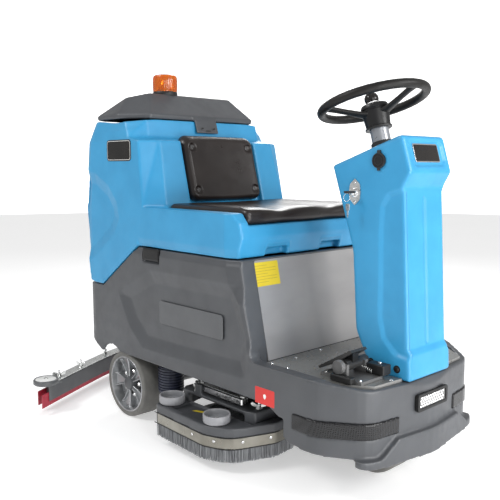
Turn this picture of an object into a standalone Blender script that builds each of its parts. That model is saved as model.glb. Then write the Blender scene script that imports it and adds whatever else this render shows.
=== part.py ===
"""Ride-on floor scrubber, modelled as an assembly of separate parts.

Metres, +Z up. The machine drives towards -Y, the operator's right is -X,
and the origin is on the floor in the middle of the machine's footprint.
"""

import math

import bmesh
import bpy
from mathutils import Matrix, Vector

# ---------------------------------------------------------------- driving sizes
GAP = 0.0005            # assembly gap between parts that touch
BODY_HALF = 0.36        # half width of the body
WALL = 0.010            # wall of the moulded base
NOSE_SPLIT = -0.585     # plane between the base and the front bumper
FRONT_Y = -0.860        # face of the front bumper
REAR_Y = 0.575          # rear face of the base
SEAM_Z = 0.700          # top of the base, where the recovery tank sits
TANK_GAP = 0.004        # open joint between the base and the tank
BAY_Z = 0.335           # roof of the open bay under the base
SKIRT_Z = 0.262         # lower edge of the base over the brush deck
FLOOR_Z = 0.360         # moulded floor of the footwell
PLATE_T = 0.010         # floor plate thickness
SILL_Z = 0.383          # top of the sills beside the footwell
SEAT_BASE_Y = -0.354    # front edge of the seat base, at its top

WHEEL_R = 0.1325        # rear wheel radius
WHEEL_W = 0.100         # rear wheel width
WHEEL_X = 0.347         # outer face of a rear wheel
WHEEL_Y = 0.325         # rear axle
DRIVE_R = 0.125         # front drive wheel radius
DRIVE_W = 0.098
DRIVE_Y = -0.658        # steering axis of the front wheel

COLUMN_HALF = 0.113     # half width of the steering column
STEER_TILT = math.radians(16.0)
STEER_HUB = Vector((0.0, -0.615, 1.205))    # middle of the steering wheel
STEER_R = 0.168         # steering wheel, middle of the rim
RIM_R = 0.0145          # rim thickness, as a radius

DECK_X = 0.205          # brush centres
DECK_Y = -0.196
BRUSH_R = 0.192
DECK_SIDE = 0.437       # outer side of the steel band
BAND_LOW = 0.086
BAND_HIGH = 0.124
BRISTLE_LOW = 0.036     # bristles, deck raised
COVER_TOP = 0.156       # top of the moulded skirt covers

SQUEEGEE_HALF = 0.540   # half width of the squeegee body
BLADE_HALF = 0.602      # half width of the blades
SQUEEGEE_Y = 0.851      # rearmost point of the body's middle line
SQUEEGEE_SWEEP = 0.55   # forward sweep per metre of half width
BLADE_LOW = 0.030
ROLLER_AT = (0.560, 0.590)      # squeegee end rollers, mirrored

BUTTON_WAY = Vector((0.0, math.cos(math.radians(18.27)), -math.sin(math.radians(18.27))))
BUTTON_FOOT = (0.050, -0.5712, 0.905)
LID_HINGE = Vector((0.0, 0.565, 1.191))
TANK_HINGE = Vector((0.3605, 0.0, 0.702))
LATCH_HINGE = Vector((-0.3600, 0.120, 0.660))
LATCH_HALF = 0.050

PARTS = "floor_scrubber_machine"
CUTTERS = "cutters"


# ---------------------------------------------------------------- scene
def clear_scene():
    for obj in list(bpy.data.objects):
        bpy.data.objects.remove(obj, do_unlink=True)
    for name in (PARTS, CUTTERS):
        group = bpy.data.collections.get(name) or bpy.data.collections.new(name)
        if name not in bpy.context.scene.collection.children:
            bpy.context.scene.collection.children.link(group)


def material(name, colour, roughness, metallic=0.0):
    found = bpy.data.materials.get(name)
    if found:
        return found
    made = bpy.data.materials.new(name)
    made.use_nodes = True
    shader = made.node_tree.nodes["Principled BSDF"]
    shader.inputs["Base Color"].default_value = (*colour, 1.0)
    shader.inputs["Roughness"].default_value = roughness
    shader.inputs["Metallic"].default_value = metallic
    return made


def materials():
    return {
        "blue": material("blue_polyethylene", (0.065, 0.35, 0.68), 0.45),
        "grey": material("grey_polyethylene", (0.10, 0.11, 0.12), 0.5),
        "panel": material("grey_panel", (0.28, 0.26, 0.25), 0.4),
        "black": material("black_plastic", (0.015, 0.015, 0.016), 0.45),
        "steel": material("painted_steel", (0.03, 0.03, 0.032), 0.5, 0.2),
        "bright": material("bright_steel", (0.62, 0.62, 0.62), 0.25, 1.0),
        "alloy": material("cast_alloy", (0.55, 0.55, 0.56), 0.35, 1.0),
        "tyre": material("grey_polyurethane", (0.16, 0.155, 0.145), 0.7),
        "seat": material("seat_foam", (0.02, 0.018, 0.017), 0.5),
        "amber": material("amber_lens", (0.9, 0.25, 0.01), 0.2),
        "clear": material("clear_lens", (0.85, 0.85, 0.88), 0.15),
        "red": material("red_rubber", (0.55, 0.02, 0.05), 0.5),
        "bristle": material("grey_bristle", (0.30, 0.31, 0.32), 0.8),
        "roller": material("pale_roller", (0.45, 0.46, 0.48), 0.5),
        "red_cap": material("red_button", (0.7, 0.02, 0.02), 0.3),
    }


# ---------------------------------------------------------------- shape helpers
def place(obj, mat, collection=PARTS):
    bpy.data.collections[collection].objects.link(obj)
    if mat is not None:
        obj.data.materials.clear()
        obj.data.materials.append(mat)
    return obj


def from_bmesh(name, bm, mat=None, collection=PARTS):
    bmesh.ops.recalc_face_normals(bm, faces=bm.faces)
    mesh = bpy.data.meshes.new(name)
    bm.to_mesh(mesh)
    bm.free()
    return place(bpy.data.objects.new(name, mesh), mat, collection)


def rounded(corners, steps=3):
    """A closed outline from (a, b, radius) corners, with each radius as an arc."""
    outline = []
    count = len(corners)
    for n, (a, b, radius) in enumerate(corners):
        here = Vector((a, b))
        if radius <= 0.0:
            outline.append(here)
            continue
        before = Vector(corners[n - 1][:2]) - here
        after = Vector(corners[(n + 1) % count][:2]) - here
        half = before.angle(after) / 2.0
        reach = min(radius / math.tan(half), 0.49 * before.length, 0.49 * after.length)
        start = here + before.normalized() * reach
        end = here + after.normalized() * reach
        for k in range(steps + 1):
            t = k / steps
            outline.append(start.lerp(here, t).lerp(here.lerp(end, t), t))
    return outline


def prism(name, outline, axis, low, high, mat=None, collection=PARTS):
    """An outline of two coordinates, extruded along the third axis."""
    order = {"X": (1, 2, 0), "Y": (0, 2, 1), "Z": (0, 1, 2)}[axis]
    bm = bmesh.new()
    verts = []
    for a, b in outline:
        point = [0.0, 0.0, 0.0]
        point[order[0]] = a
        point[order[1]] = b
        point[order[2]] = low
        verts.append(bm.verts.new(point))
    face = bm.faces.new(verts)
    moved = bmesh.ops.extrude_face_region(bm, geom=[face])
    shift = Vector((0.0, 0.0, 0.0))
    shift[order[2]] = high - low
    ends = [item for item in moved["geom"] if isinstance(item, bmesh.types.BMVert)]
    bmesh.ops.translate(bm, vec=shift, verts=ends)
    return from_bmesh(name, bm, mat, collection)


def box(name, low, high, mat=None, collection=PARTS, bevel=0.0):
    bm = bmesh.new()
    bmesh.ops.create_cube(bm, size=1.0)
    size = Vector(high) - Vector(low)
    bmesh.ops.scale(bm, vec=size, verts=bm.verts)
    bmesh.ops.translate(bm, vec=(Vector(high) + Vector(low)) / 2.0, verts=bm.verts)
    obj = from_bmesh(name, bm, mat, collection)
    if bevel > 0.0:
        soften(obj, bevel)
    return obj


def cylinder(name, start, end, radius, sides=24, mat=None, collection=PARTS, end_radius=None):
    start = Vector(start)
    end = Vector(end)
    along = end - start
    bm = bmesh.new()
    bmesh.ops.create_cone(
        bm,
        cap_ends=True,
        segments=sides,
        radius1=radius,
        radius2=radius if end_radius is None else end_radius,
        depth=along.length,
    )
    turn = Vector((0, 0, 1)).rotation_difference(along.normalized()).to_matrix().to_4x4()
    middle = Matrix.Translation((start + end) / 2.0)
    bmesh.ops.transform(bm, matrix=middle @ turn, verts=bm.verts)
    return from_bmesh(name, bm, mat, collection)


def turned(name, profile, place_at, axis, sides, mat=None, collection=PARTS):
    """A closed (radius, height) ring of points turned about an axis, by bmesh spin."""
    bm = bmesh.new()
    on_axis = [r < 1e-9 for r, h in profile]
    verts = [bm.verts.new((r, 0.0, h)) for r, h in profile]
    edges = []
    for n in range(len(verts)):
        m = (n + 1) % len(verts)
        if not (on_axis[n] and on_axis[m]):
            edges.append(bm.edges.new((verts[n], verts[m])))
    bmesh.ops.spin(
        bm,
        geom=verts + edges,
        cent=(0, 0, 0),
        axis=(0, 0, 1),
        angle=math.tau,
        steps=sides,
        use_merge=True,
    )
    bmesh.ops.remove_doubles(bm, verts=bm.verts, dist=0.00001)
    turn = Vector((0, 0, 1)).rotation_difference(Vector(axis)).to_matrix().to_4x4()
    bmesh.ops.transform(bm, matrix=Matrix.Translation(Vector(place_at)) @ turn, verts=bm.verts)
    return from_bmesh(name, bm, mat, collection)


def soften(obj, width, segments=1, angle=40.0):
    bevel = obj.modifiers.new("rounded_edges", "BEVEL")
    bevel.width = width
    bevel.segments = segments
    bevel.limit_method = "ANGLE"
    bevel.angle_limit = math.radians(angle)
    bevel.use_clamp_overlap = True
    return obj


def combine(obj, operation, *others):
    for other in others:
        step = obj.modifiers.new(operation.lower(), "BOOLEAN")
        step.operation = operation
        step.solver = "EXACT"
        step.object = other
        other.hide_render = True
        other.display_type = "WIRE"
    return obj


def cut(obj, *others):
    return combine(obj, "DIFFERENCE", *others)


def join(obj, *others):
    return combine(obj, "UNION", *others)


def keep(obj, *others):
    return combine(obj, "INTERSECT", *others)


def tool_box(name, low, high):
    return box(name, low, high, None, CUTTERS)


def tool_cylinder(name, start, end, radius, sides=24, end_radius=None):
    return cylinder(name, start, end, radius, sides, None, CUTTERS, end_radius)


def tool_prism(name, outline, axis, low, high):
    return prism(name, outline, axis, low, high, None, CUTTERS)


def mirror_outline(half):
    """Closes an outline given for +X by its mirror image at -X."""
    return list(half) + [(-a, b) for a, b in reversed(half) if abs(a) > 1e-9]


# ---------------------------------------------------------------- joints
PIVOTS = {}


def pivot(name, at, parent=None):
    """An empty on a joint's axis, which carries the parts that move with it."""
    empty = bpy.data.objects.new(name, None)
    empty.empty_display_size = 0.05
    bpy.data.collections[PARTS].objects.link(empty)
    PIVOTS[name] = Vector(at)
    empty.location = Vector(at)
    if parent:
        empty.parent = bpy.data.objects[parent]
        empty.location = Vector(at) - PIVOTS[parent]
    return empty


def carry(pivot_name, *parts):
    at = PIVOTS[pivot_name]
    for obj in parts:
        obj.data.transform(Matrix.Translation(-at))
        obj.parent = bpy.data.objects[pivot_name]


# ---------------------------------------------------------------- base and body
def base_profile():
    return rounded([
        (NOSE_SPLIT - 0.20, 0.238, 0.0),
        (-0.545, 0.238, 0.020),
        (-0.500, SKIRT_Z, 0.020),
        (0.345, SKIRT_Z, 0.0),
        (0.465, 0.240, 0.010),
        (REAR_Y, 0.290, 0.020),
        (REAR_Y, 0.524, 0.015),
        (0.459, 0.522, 0.0),
        (0.205, SEAM_Z, 0.030),
        (SEAT_BASE_Y, SEAM_Z, 0.0),
        (-0.423, SILL_Z, 0.030),
        (NOSE_SPLIT - 0.20, SILL_Z, 0.0),
    ])


def body_plan(inset=0.0):
    side = BODY_HALF - inset
    front = FRONT_Y + inset
    rear = REAR_Y - inset
    return rounded([
        (-side, rear, 0.05),
        (-side, front + 0.165, 0.09),
        (-side + 0.095, front + 0.030, 0.09),
        (0.0, front - 0.005, 0.40),
        (side - 0.095, front + 0.030, 0.09),
        (side, front + 0.165, 0.09),
        (side, rear, 0.05),
    ], 3)


def cut_bay(shell, prefix):
    """Opens the bay under the body and the footwell above it."""
    bay = tool_prism(prefix + "_bay", body_plan(WALL), "Z", 0.05, BAY_Z)
    well = tool_prism(
        prefix + "_well",
        mirror_outline([(0.0, -0.835), (0.240, -0.822), (0.300, -0.745), (0.318, -0.700),
                        (0.318, -0.4155), (0.0, -0.4155)]),
        "Z", FLOOR_Z, SILL_Z + 0.1)
    cut(shell, bay, well)


def make_base_shell(mats):
    shell = prism("base_shell", base_profile(), "X", -BODY_HALF, BODY_HALF, mats["grey"])
    keep(shell, tool_prism("base_plan", body_plan(), "Z", 0.05, 0.90))
    cut(shell, tool_box("base_split", (-0.5, -1.2, 0.0), (0.5, NOSE_SPLIT, 1.0)))
    cut_bay(shell, "base")
    cut(shell, panel_room())
    cut(shell, tool_box("battery_room", (-0.338, -0.325, 0.350), (0.338, 0.190, 0.80)))
    tank = [(0.205, 0.350), (0.545, 0.350), (0.545, 0.508), (0.452, 0.508), (0.205, 0.678)]
    cut(shell, tool_prism("solution_room", tank, "X", -0.340, 0.340))
    cut(shell, tool_cylinder("fill_hole", (0.20, 0.495, 0.40), (0.20, 0.495, 0.60), 0.030, 12))
    cut(shell, tool_cylinder("arch", (-0.5, 0.400, 0.200), (0.5, 0.400, 0.200), 0.085, 20))
    x, y, z = LATCH_HINGE
    reach = LATCH_HALF + 0.005
    cut(shell, tool_box("latch_notch", (x - 0.02, y - reach, z - 0.014), (x + 0.0125, y + reach, 0.80)))
    return shell


def make_front_bumper(mats):
    rear = NOSE_SPLIT - GAP
    profile = rounded([
        (rear, 0.165, 0.015),
        (rear, SILL_Z, 0.0),
        (-0.690, SILL_Z, 0.030),
        (-0.800, 0.364, 0.020),
        (FRONT_Y + 0.014, 0.358, 0.010),
        (FRONT_Y - 0.005, 0.335, 0.010),
        (FRONT_Y - 0.005, 0.215, 0.015),
        (FRONT_Y + 0.012, 0.150, 0.010),
    ])
    nose = prism("front_bumper", profile, "X", -BODY_HALF, BODY_HALF, mats["grey"])
    keep(nose, tool_prism("nose_plan", body_plan(), "Z", 0.05, 0.90))
    cut_bay(nose, "nose")
    cut(nose, tool_box("light_seat", (-0.0785, -1.0, 0.2675), (0.0785, -0.8470, 0.3155)))
    kingpin = tool_cylinder("kingpin_hole", (0, DRIVE_Y, 0.30), (0, DRIVE_Y, 0.3555), 0.045, 16)
    cut(nose, kingpin)
    guard = prism("bumper_guard", guard_outline(), "Y", -1.0, -0.80, None, CUTTERS)
    keep(guard, tool_prism("guard_plan", body_plan(-0.0174), "Z", 0.05, 0.4))
    cut(guard, tool_prism("guard_back", body_plan(0.005), "Z", 0.05, 0.4))
    join(nose, guard)
    for side in (-1, 1):
        seat = tool_prism(f"lamp_seat_{side}", body_plan(-0.03), "Z", 0.2160, 0.2640)
        cut(seat, tool_prism(f"lamp_seat_core_{side}", body_plan(0.0085), "Z", 0.2, 0.3))
        keep(seat, lamp_corner(f"lamp_seat_corner_{side}", side, 0.0005))
        cut(nose, seat)
    return nose


def guard_outline():
    """The raised rib under the bumper, seen from the front: low at its ends."""
    return mirror_outline(rounded([
        (0.0, 0.205, 0.0),
        (0.165, 0.205, 0.010),
        (0.235, 0.158, 0.010),
        (0.300, 0.158, 0.004),
        (0.300, 0.136, 0.004),
        (0.220, 0.130, 0.020),
        (0.0, 0.124, 0.0),
    ], 2))


def lamp_corner(name, side, slack):
    inner = 0.150 - slack
    low_x = inner if side > 0 else -0.5
    high_x = 0.5 if side > 0 else -inner
    return tool_box(name, (low_x, -1.0, 0.1), (high_x, -0.610 + slack, 0.4))


def make_corner_lamp(mats, name, side):
    lamp = prism(name, body_plan(-0.002), "Z", 0.2165, 0.2635, mats["black"])
    cut(lamp, tool_prism(name + "_core", body_plan(0.008), "Z", 0.2, 0.3))
    keep(lamp, lamp_corner(name + "_corner", side, 0.0))
    return lamp


def make_headlight(mats):
    housing = box("headlight", (-0.078, -0.8665, 0.268), (0.078, -0.8475, 0.315), mats["black"])
    cut(housing, tool_box("headlight_mouth", (-0.070, -1.0, 0.274), (0.070, -0.8515, 0.309)))
    lens = box("headlight_lens", (-0.0695, -0.8645, 0.2745), (0.0695, -0.8520, 0.3085), mats["clear"])
    return [housing, lens]


def seat_face(z):
    """Depth of the seat base's leaning front face at a height."""
    return -0.423 + (z - SILL_Z) * (SEAT_BASE_Y + 0.423) / (SEAM_Z - SILL_Z)


PANEL_LOW = FLOOR_Z + PLATE_T + 0.001
PANEL_HIGH = SEAM_Z - 0.006


def panel_room():
    low = PANEL_LOW - GAP
    high = PANEL_HIGH + GAP
    outline = [(seat_face(low) - 0.05, low), (seat_face(low) + 0.0105, low),
               (seat_face(high) + 0.0105, high), (seat_face(high) - 0.05, high)]
    return tool_prism("panel_room", outline, "X", -0.2755, 0.2755)


def make_footwell_panel(mats):
    """The front panel of the seat base, let into the moulding."""
    outline = [(seat_face(PANEL_LOW) + 0.004, PANEL_LOW), (seat_face(PANEL_LOW) + 0.010, PANEL_LOW),
               (seat_face(PANEL_HIGH) + 0.010, PANEL_HIGH), (seat_face(PANEL_HIGH) + 0.004, PANEL_HIGH)]
    return prism("footwell_panel", outline, "X", -0.275, 0.275, mats["panel"])


def make_floor_plate(mats):
    outline = mirror_outline([
        (0.0, -0.7045), (0.1145, -0.7045), (0.1145, -0.8280), (0.234, -0.8180),
        (0.294, -0.7425), (0.3145, -0.6980), (0.3145, -0.4260), (0.0, -0.4260)])
    return prism("floor_plate", outline, "Z", FLOOR_Z + GAP, FLOOR_Z + PLATE_T, mats["steel"])


# ---------------------------------------------------------------- steering column
def column_profile(inset=0.0):
    """Side outline of the column: a head with an overhanging lip on a leaning post."""
    corners = [
        (-0.845 + inset, FLOOR_Z + GAP, 0.0),
        (-0.812 + inset, 0.940, 0.020),
        (-0.837 + inset, 0.985, 0.010),
        (-0.803 + inset, 1.098 - inset, 0.012),
        (-0.541 - inset, 1.006 - inset, 0.008),
        (-0.628 - inset, 0.745, 0.080),
        (-0.646 - inset, 0.490, 0.060),
        (-0.712 - inset, FLOOR_Z + GAP, 0.0),
    ]
    return rounded(corners, 2)


def make_steering_column(mats):
    column = prism("steering_column", column_profile(), "X", -COLUMN_HALF, COLUMN_HALF, mats["blue"])
    soften(column, 0.014, 2, 60.0)
    inner = COLUMN_HALF - 0.008
    cut(column, tool_prism("column_room", column_profile(0.010), "X", -inner, inner))
    low = tool_box("column_mouth", (-inner, -0.834, 0.2), (inner, -0.725, 0.40))
    cut(column, low)
    axis = steering_axis()
    shaft_hole = tool_cylinder("shaft_hole", STEER_HUB - axis * 0.30, STEER_HUB, 0.0215, 16)
    cut(column, shaft_hole)
    cut(column, tool_box("dash_opening", (-0.090, -0.70, 0.80), (0.090, -0.50, 0.965)))
    cut(column, tool_cylinder("key_hole", (-0.2, -0.638, 0.924), (-0.05, -0.638, 0.924), 0.0125, 16))
    cut(column, tool_cylinder("socket_hole", (-0.2, -0.727, 1.020), (-0.05, -0.727, 1.020), 0.0155, 16))
    return column


def steering_axis():
    return Vector((0.0, math.sin(STEER_TILT), math.cos(STEER_TILT)))


def make_dash_panel(mats):
    """Operator's panel on the rear of the head, bored for the emergency button."""
    profile = [(-0.6205, 0.803), (-0.6055, 0.803), (-0.5530, 0.962), (-0.5680, 0.962)]
    panel = prism("dash_panel", profile, "X", -0.0895, 0.0895, mats["black"])
    foot = Vector(BUTTON_FOOT)
    cut(panel, tool_cylinder("button_hole", foot - BUTTON_WAY * 0.03, foot + BUTTON_WAY * 0.03, 0.0115, 16))
    return panel


def make_key_switch(mats):
    plate = prism(
        "key_switch",
        rounded([(-0.638, 0.883, 0.0), (-0.619, 0.900, 0.008), (-0.616, 0.924, 0.014),
                 (-0.619, 0.948, 0.008), (-0.638, 0.965, 0.0), (-0.657, 0.948, 0.008),
                 (-0.660, 0.924, 0.014), (-0.657, 0.900, 0.008)], 2),
        "X", -COLUMN_HALF - 0.0035, -COLUMN_HALF - GAP, mats["bright"])
    barrel = cylinder("key_barrel_body", (-0.128, -0.638, 0.924), (-0.085, -0.638, 0.924),
                      0.0115, 16, None, CUTTERS)
    join(plate, barrel)
    return plate


def make_key(mats):
    key = box("ignition_key", (-0.158, -0.6485, 0.9205), (-0.1285, -0.6275, 0.9275), mats["black"])
    soften(key, 0.0015)
    return key


def make_socket_cap(mats):
    """Hinged cap over the charging socket, with a thumb tab below and a hinge lug above."""
    face = -COLUMN_HALF - GAP
    cap = cylinder("socket_cap", (face - 0.0055, -0.727, 1.020), (face, -0.727, 1.020), 0.0235, 20,
                   mats["black"])
    tab = tool_box("cap_tab", (face - 0.0055, -0.7315, 0.990), (face, -0.7225, 1.000))
    lug = tool_box("cap_lug", (face - 0.0055, -0.7325, 1.038), (face, -0.7215, 1.051))
    join(cap, tab, lug)
    return cap


# ---------------------------------------------------------------- recovery tank and seat
def loft(name, sections, mat=None, collection=PARTS):
    """Closed solid through rings of equal point count, given as (x, y, z)."""
    bm = bmesh.new()
    rings = []
    for section in sections:
        verts = [bm.verts.new(point) for point in section]
        edges = [bm.edges.new((verts[n - 1], verts[n])) for n in range(len(verts))]
        rings.append((verts, edges))
    for lower, upper in zip(rings, rings[1:]):
        bmesh.ops.bridge_loops(bm, edges=lower[1] + upper[1])
    bm.faces.new(rings[0][0])
    bm.faces.new(rings[-1][0])
    return from_bmesh(name, bm, mat, collection)


def ring(half, height):
    """A mirrored ring at one height; height may be a function of x and y."""
    outline = mirror_outline(half)
    level = height if callable(height) else (lambda x, y: height)
    return [(x, y, level(x, y)) for x, y in outline]


def tower_half(front, front_half, side_y, side_half, rear):
    return [(0.0, front), (front_half, front), (side_half, side_y), (side_half, rear - 0.055),
            (side_half - 0.015, rear - 0.017), (side_half - 0.052, rear - 0.002), (0.0, rear)]


def make_recovery_tank(mats):
    bottom = SEAM_Z + TANK_GAP
    block_profile = rounded([
        (-0.345, bottom, 0.008),
        (-0.362, 0.772, 0.0),
        (-0.352, 0.822, 0.0),
        (-0.325, 0.852, 0.012),
        (0.300, 0.852, 0.0),
        (0.615, 0.846, 0.0),
        (0.596, 0.720, 0.0),
        (0.550, 0.5285, 0.010),
        (0.462, 0.5265, 0.0),
        (0.207, bottom, 0.025),
    ])
    tank = prism("recovery_tank", block_profile, "X", -BODY_HALF, BODY_HALF, mats["blue"])
    plan = mirror_outline(rounded([
        (0.0, -0.40, 0.0), (0.325, -0.40, 0.0), (BODY_HALF, -0.300, 0.0),
        (BODY_HALF, 0.615, 0.055), (0.0, 0.615, 0.0)]))
    keep(tank, tool_prism("tank_plan", plan, "Z", 0.5, 0.9))
    tower = loft("tank_tower", [
        ring(tower_half(0.082, 0.310, 0.165, BODY_HALF, 0.615), 0.845),
        ring(tower_half(0.147, 0.290, 0.189, BODY_HALF, 0.580), 1.100),
        ring(tower_half(0.222, 0.288, 0.262, 0.356, 0.577), 1.112),
        ring(tower_half(0.235, 0.285, 0.300, 0.343, 0.545), 1.184),
    ], None, CUTTERS)
    join(tank, tower)
    cut(tank, tool_box("seat_recess", (-0.3015, -0.60, 0.8115), (0.3015, 0.0805, 0.90)))
    cut(tank, tool_prism("back_recess", back_recess(), "X", -0.1885, 0.1885))
    low_room = tool_prism("tank_room_low", [
        (-0.304, 0.716), (-0.304, 0.748), (-0.346, 0.775), (-0.340, 0.7985), (0.095, 0.7985),
        (0.150, 0.830), (0.600, 0.830), (0.583, 0.722), (0.540, 0.5415), (0.470, 0.5395),
        (0.216, 0.716)], "X", -0.347, 0.347)
    keep(low_room, tool_prism("low_room_plan", mirror_outline(rounded([
        (0.0, -0.38, 0.0), (0.312, -0.38, 0.0), (0.347, -0.295, 0.0), (0.347, 0.602, 0.045),
        (0.0, 0.602, 0.0)])), "Z", 0.5, 0.9))
    high_room = loft("tank_room_high", [
        ring(tower_half(0.132, 0.300, 0.178, 0.347, 0.602), 0.826),
        ring(tower_half(0.196, 0.282, 0.206, 0.347, 0.570), 1.084),
        ring(tower_half(0.237, 0.280, 0.280, 0.344, 0.567), 1.098),
        ring(tower_half(0.250, 0.282, 0.305, 0.330, 0.533), 1.184),
        ring(tower_half(0.250, 0.282, 0.305, 0.330, 0.533), 1.300),
    ], None, CUTTERS)
    cut(tank, low_room, high_room)
    for x in (-0.160, 0.115):
        cut(tank, tool_box(f"hand_recess_{x}", (x - 0.058, -0.40, 0.60), (x + 0.048, -0.318, 0.733)))
    return tank


def back_recess():
    return [(-0.10, 0.858), (0.1135, 0.858), (0.1865, 1.128), (-0.10, 1.128)]


def on_back(z, forward):
    """Depth of the backrest's mounting plane at a height, and in front of it."""
    return 0.1135 + (z - 0.858) * 0.2704 - forward


def make_seat(mats):
    cushion = box("seat_cushion", (-0.3000, -0.350, 0.8122), (0.3000, 0.0795, 0.8680), mats["seat"])
    soften(cushion, 0.014, 2)
    low = 0.8665
    high = 1.1220
    back = prism("backrest", [
        (on_back(low, 0.0008), low), (on_back(high, 0.0008), high),
        (on_back(high, 0.0380), high), (on_back(low, 0.0380), low)],
        "X", -0.182, 0.182, mats["seat"])
    soften(back, 0.012, 2)
    return cushion, back


def roof(x, y):
    """Height of the lid's top: level ridge at the front, falling to the rear."""
    return 1.294 - max(0.0, y - 0.325) * 0.30


def make_lid(mats):
    def half(front, front_half, side_half, rear):
        return [(0.0, front), (front_half, front), (side_half, front + 0.11),
                (side_half - 0.012, rear - 0.040), (side_half - 0.060, rear - 0.004), (0.0, rear)]

    def inner_roof(x, y):
        return roof(x, y) - 0.010

    lid = loft("tank_lid", [
        ring(half(0.238, 0.264, 0.343, 0.5525), 1.1865),
        ring(half(0.236, 0.266, 0.345, 0.5540), 1.203),
        ring([(0.0, 0.325), (0.206, 0.325), (0.275, 0.385), (0.272, 0.480), (0.235, 0.503), (0.0, 0.507)],
             roof),
    ], mats["grey"])
    room = loft("lid_room", [
        ring(half(0.252, 0.252, 0.328, 0.5380), 1.180),
        ring(half(0.252, 0.252, 0.328, 0.5380), 1.200),
        ring([(0.0, 0.337), (0.200, 0.337), (0.262, 0.392), (0.260, 0.470), (0.225, 0.488), (0.0, 0.491)],
             inner_roof),
    ], None, CUTTERS)
    cut(lid, room)
    tab = prism("lid_tab", [(0.2105, 1.135), (0.2170, 1.135), (0.2335, 1.1845), (0.2450, 1.1900),
                            (0.2450, 1.2000), (0.2370, 1.2000), (0.2280, 1.190)],
                "X", -0.057, 0.057, None, CUTTERS)
    join(lid, tab)
    y, z = LID_HINGE.yz
    barrels = tool_cylinder("lid_barrels", (-0.12, y, z), (0.12, y, z), 0.0080, 12)
    leaf = tool_box("lid_leaf", (-0.11, 0.5400, z - 0.002), (0.11, y, z + 0.006))
    join(lid, barrels, leaf)
    return lid


def make_beacon(mats):
    x, y = -0.100, 0.367
    top = roof(x, y) + 0.0185
    beacon = turned("beacon", [(0.0, top), (0.048, top), (0.0510, top + 0.020), (0.0510, top + 0.050),
                               (0.048, top + 0.068), (0.042, top + 0.0735), (0.0, top + 0.0745)],
                    (x, y, 0.0), (0, 0, 1), 24, mats["amber"])
    foot = tool_prism("beacon_foot", [(y - 0.041, roof(x, y - 0.041) + 0.0005),
                                      (y - 0.041, top + 0.005), (y + 0.041, top + 0.005),
                                      (y + 0.041, roof(x, y + 0.041) + 0.0005)], "X", x - 0.041, x + 0.041)
    join(beacon, foot)
    return beacon


def make_tank_latch(mats):
    """Catch on the operator's right that holds the tank down. It swings out about its lower edge."""
    x, y, z = LATCH_HINGE
    return box("tank_latch", (x - 0.0005, y - LATCH_HALF, z - 0.005), (x + 0.0095, y + LATCH_HALF, z + 0.0415),
               mats["black"], bevel=0.0025)


# ---------------------------------------------------------------- steering
def turn(obj, axis, angle, about):
    """Turns a part's mesh about a line through a point."""
    at = Matrix.Translation(Vector(about))
    obj.data.transform(at @ Matrix.Rotation(angle, 4, Vector(axis)) @ at.inverted())
    return obj


def make_steering_wheel(mats):
    axis = steering_axis()
    across = Vector((1.0, 0.0, 0.0))
    along = Vector((0.0, math.cos(STEER_TILT), -math.sin(STEER_TILT)))
    bm = bmesh.new()
    section = [(STEER_R + RIM_R * math.cos(a), RIM_R * math.sin(a))
               for a in (math.tau * n / 8 for n in range(8))]
    verts = [bm.verts.new((r, 0.0, h)) for r, h in section]
    edges = [bm.edges.new((verts[n - 1], verts[n])) for n in range(8)]
    bmesh.ops.spin(bm, geom=verts + edges, cent=(0, 0, 0), axis=(0, 0, 1), angle=math.tau, steps=30,
                   use_merge=True)
    bmesh.ops.remove_doubles(bm, verts=bm.verts, dist=0.00001)
    lean = Vector((0, 0, 1)).rotation_difference(axis).to_matrix().to_4x4()
    bmesh.ops.transform(bm, matrix=Matrix.Translation(STEER_HUB) @ lean, verts=bm.verts)
    wheel = from_bmesh("steering_wheel", bm, mats["black"])
    hub = tool_cylinder("wheel_hub", STEER_HUB - axis * 0.088, STEER_HUB - axis * 0.006, 0.033, 16, 0.045)
    join(wheel, hub)
    for n, angle in enumerate((30.0, 150.0, 270.0)):
        way = across * math.cos(math.radians(angle)) + along * math.sin(math.radians(angle))
        spoke = tool_cylinder(f"wheel_spoke_{n}", STEER_HUB + way * 0.020 - axis * 0.024,
                              STEER_HUB + way * (STEER_R - 0.002) - axis * 0.004, 0.0115, 8)
        join(wheel, spoke)
    return wheel


def make_spinner_knob(mats):
    axis = steering_axis()
    foot = knob_foot()
    profile = [(0.0, 0.0), (0.008, 0.0), (0.008, 0.020), (0.019, 0.026), (0.025, 0.040),
               (0.022, 0.055), (0.012, 0.063), (0.0, 0.064)]
    return turned("spinner_knob", profile, foot, axis, 12, mats["black"])


def knob_foot():
    across = Vector((1.0, 0.0, 0.0))
    along = Vector((0.0, math.cos(STEER_TILT), -math.sin(STEER_TILT)))
    angle = math.radians(36.0)
    way = across * math.cos(angle) + along * math.sin(angle)
    return STEER_HUB + way * STEER_R + steering_axis() * (RIM_R + 0.001)


def make_steering_shaft(mats):
    axis = steering_axis()
    return cylinder("steering_shaft", STEER_HUB - axis * 0.235, STEER_HUB - axis * 0.0885, 0.020, 16,
                    mats["steel"])


def make_fork(mats):
    """Front fork: a top plate with a kingpin, one leg each side of the drive wheel."""
    y = DRIVE_Y
    plate = box("steering_fork", (-0.085, y - 0.045, 0.272), (0.085, y + 0.045, 0.290), mats["steel"])
    left = tool_box("fork_leg_left", (0.062, y - 0.025, 0.095), (0.074, y + 0.025, 0.275))
    right = tool_box("fork_leg_right", (-0.074, y - 0.025, 0.095), (-0.062, y + 0.025, 0.275))
    kingpin = tool_cylinder("kingpin", (0, y, 0.285), (0, y, 0.350), 0.020, 16)
    join(plate, left, right, kingpin)
    for side in (-1, 1):
        hole = tool_cylinder(f"fork_hole_{side}", (side * 0.050, y, DRIVE_R), (side * 0.090, y, DRIVE_R),
                             0.0158, 16)
        cut(plate, hole)
    return plate


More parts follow.
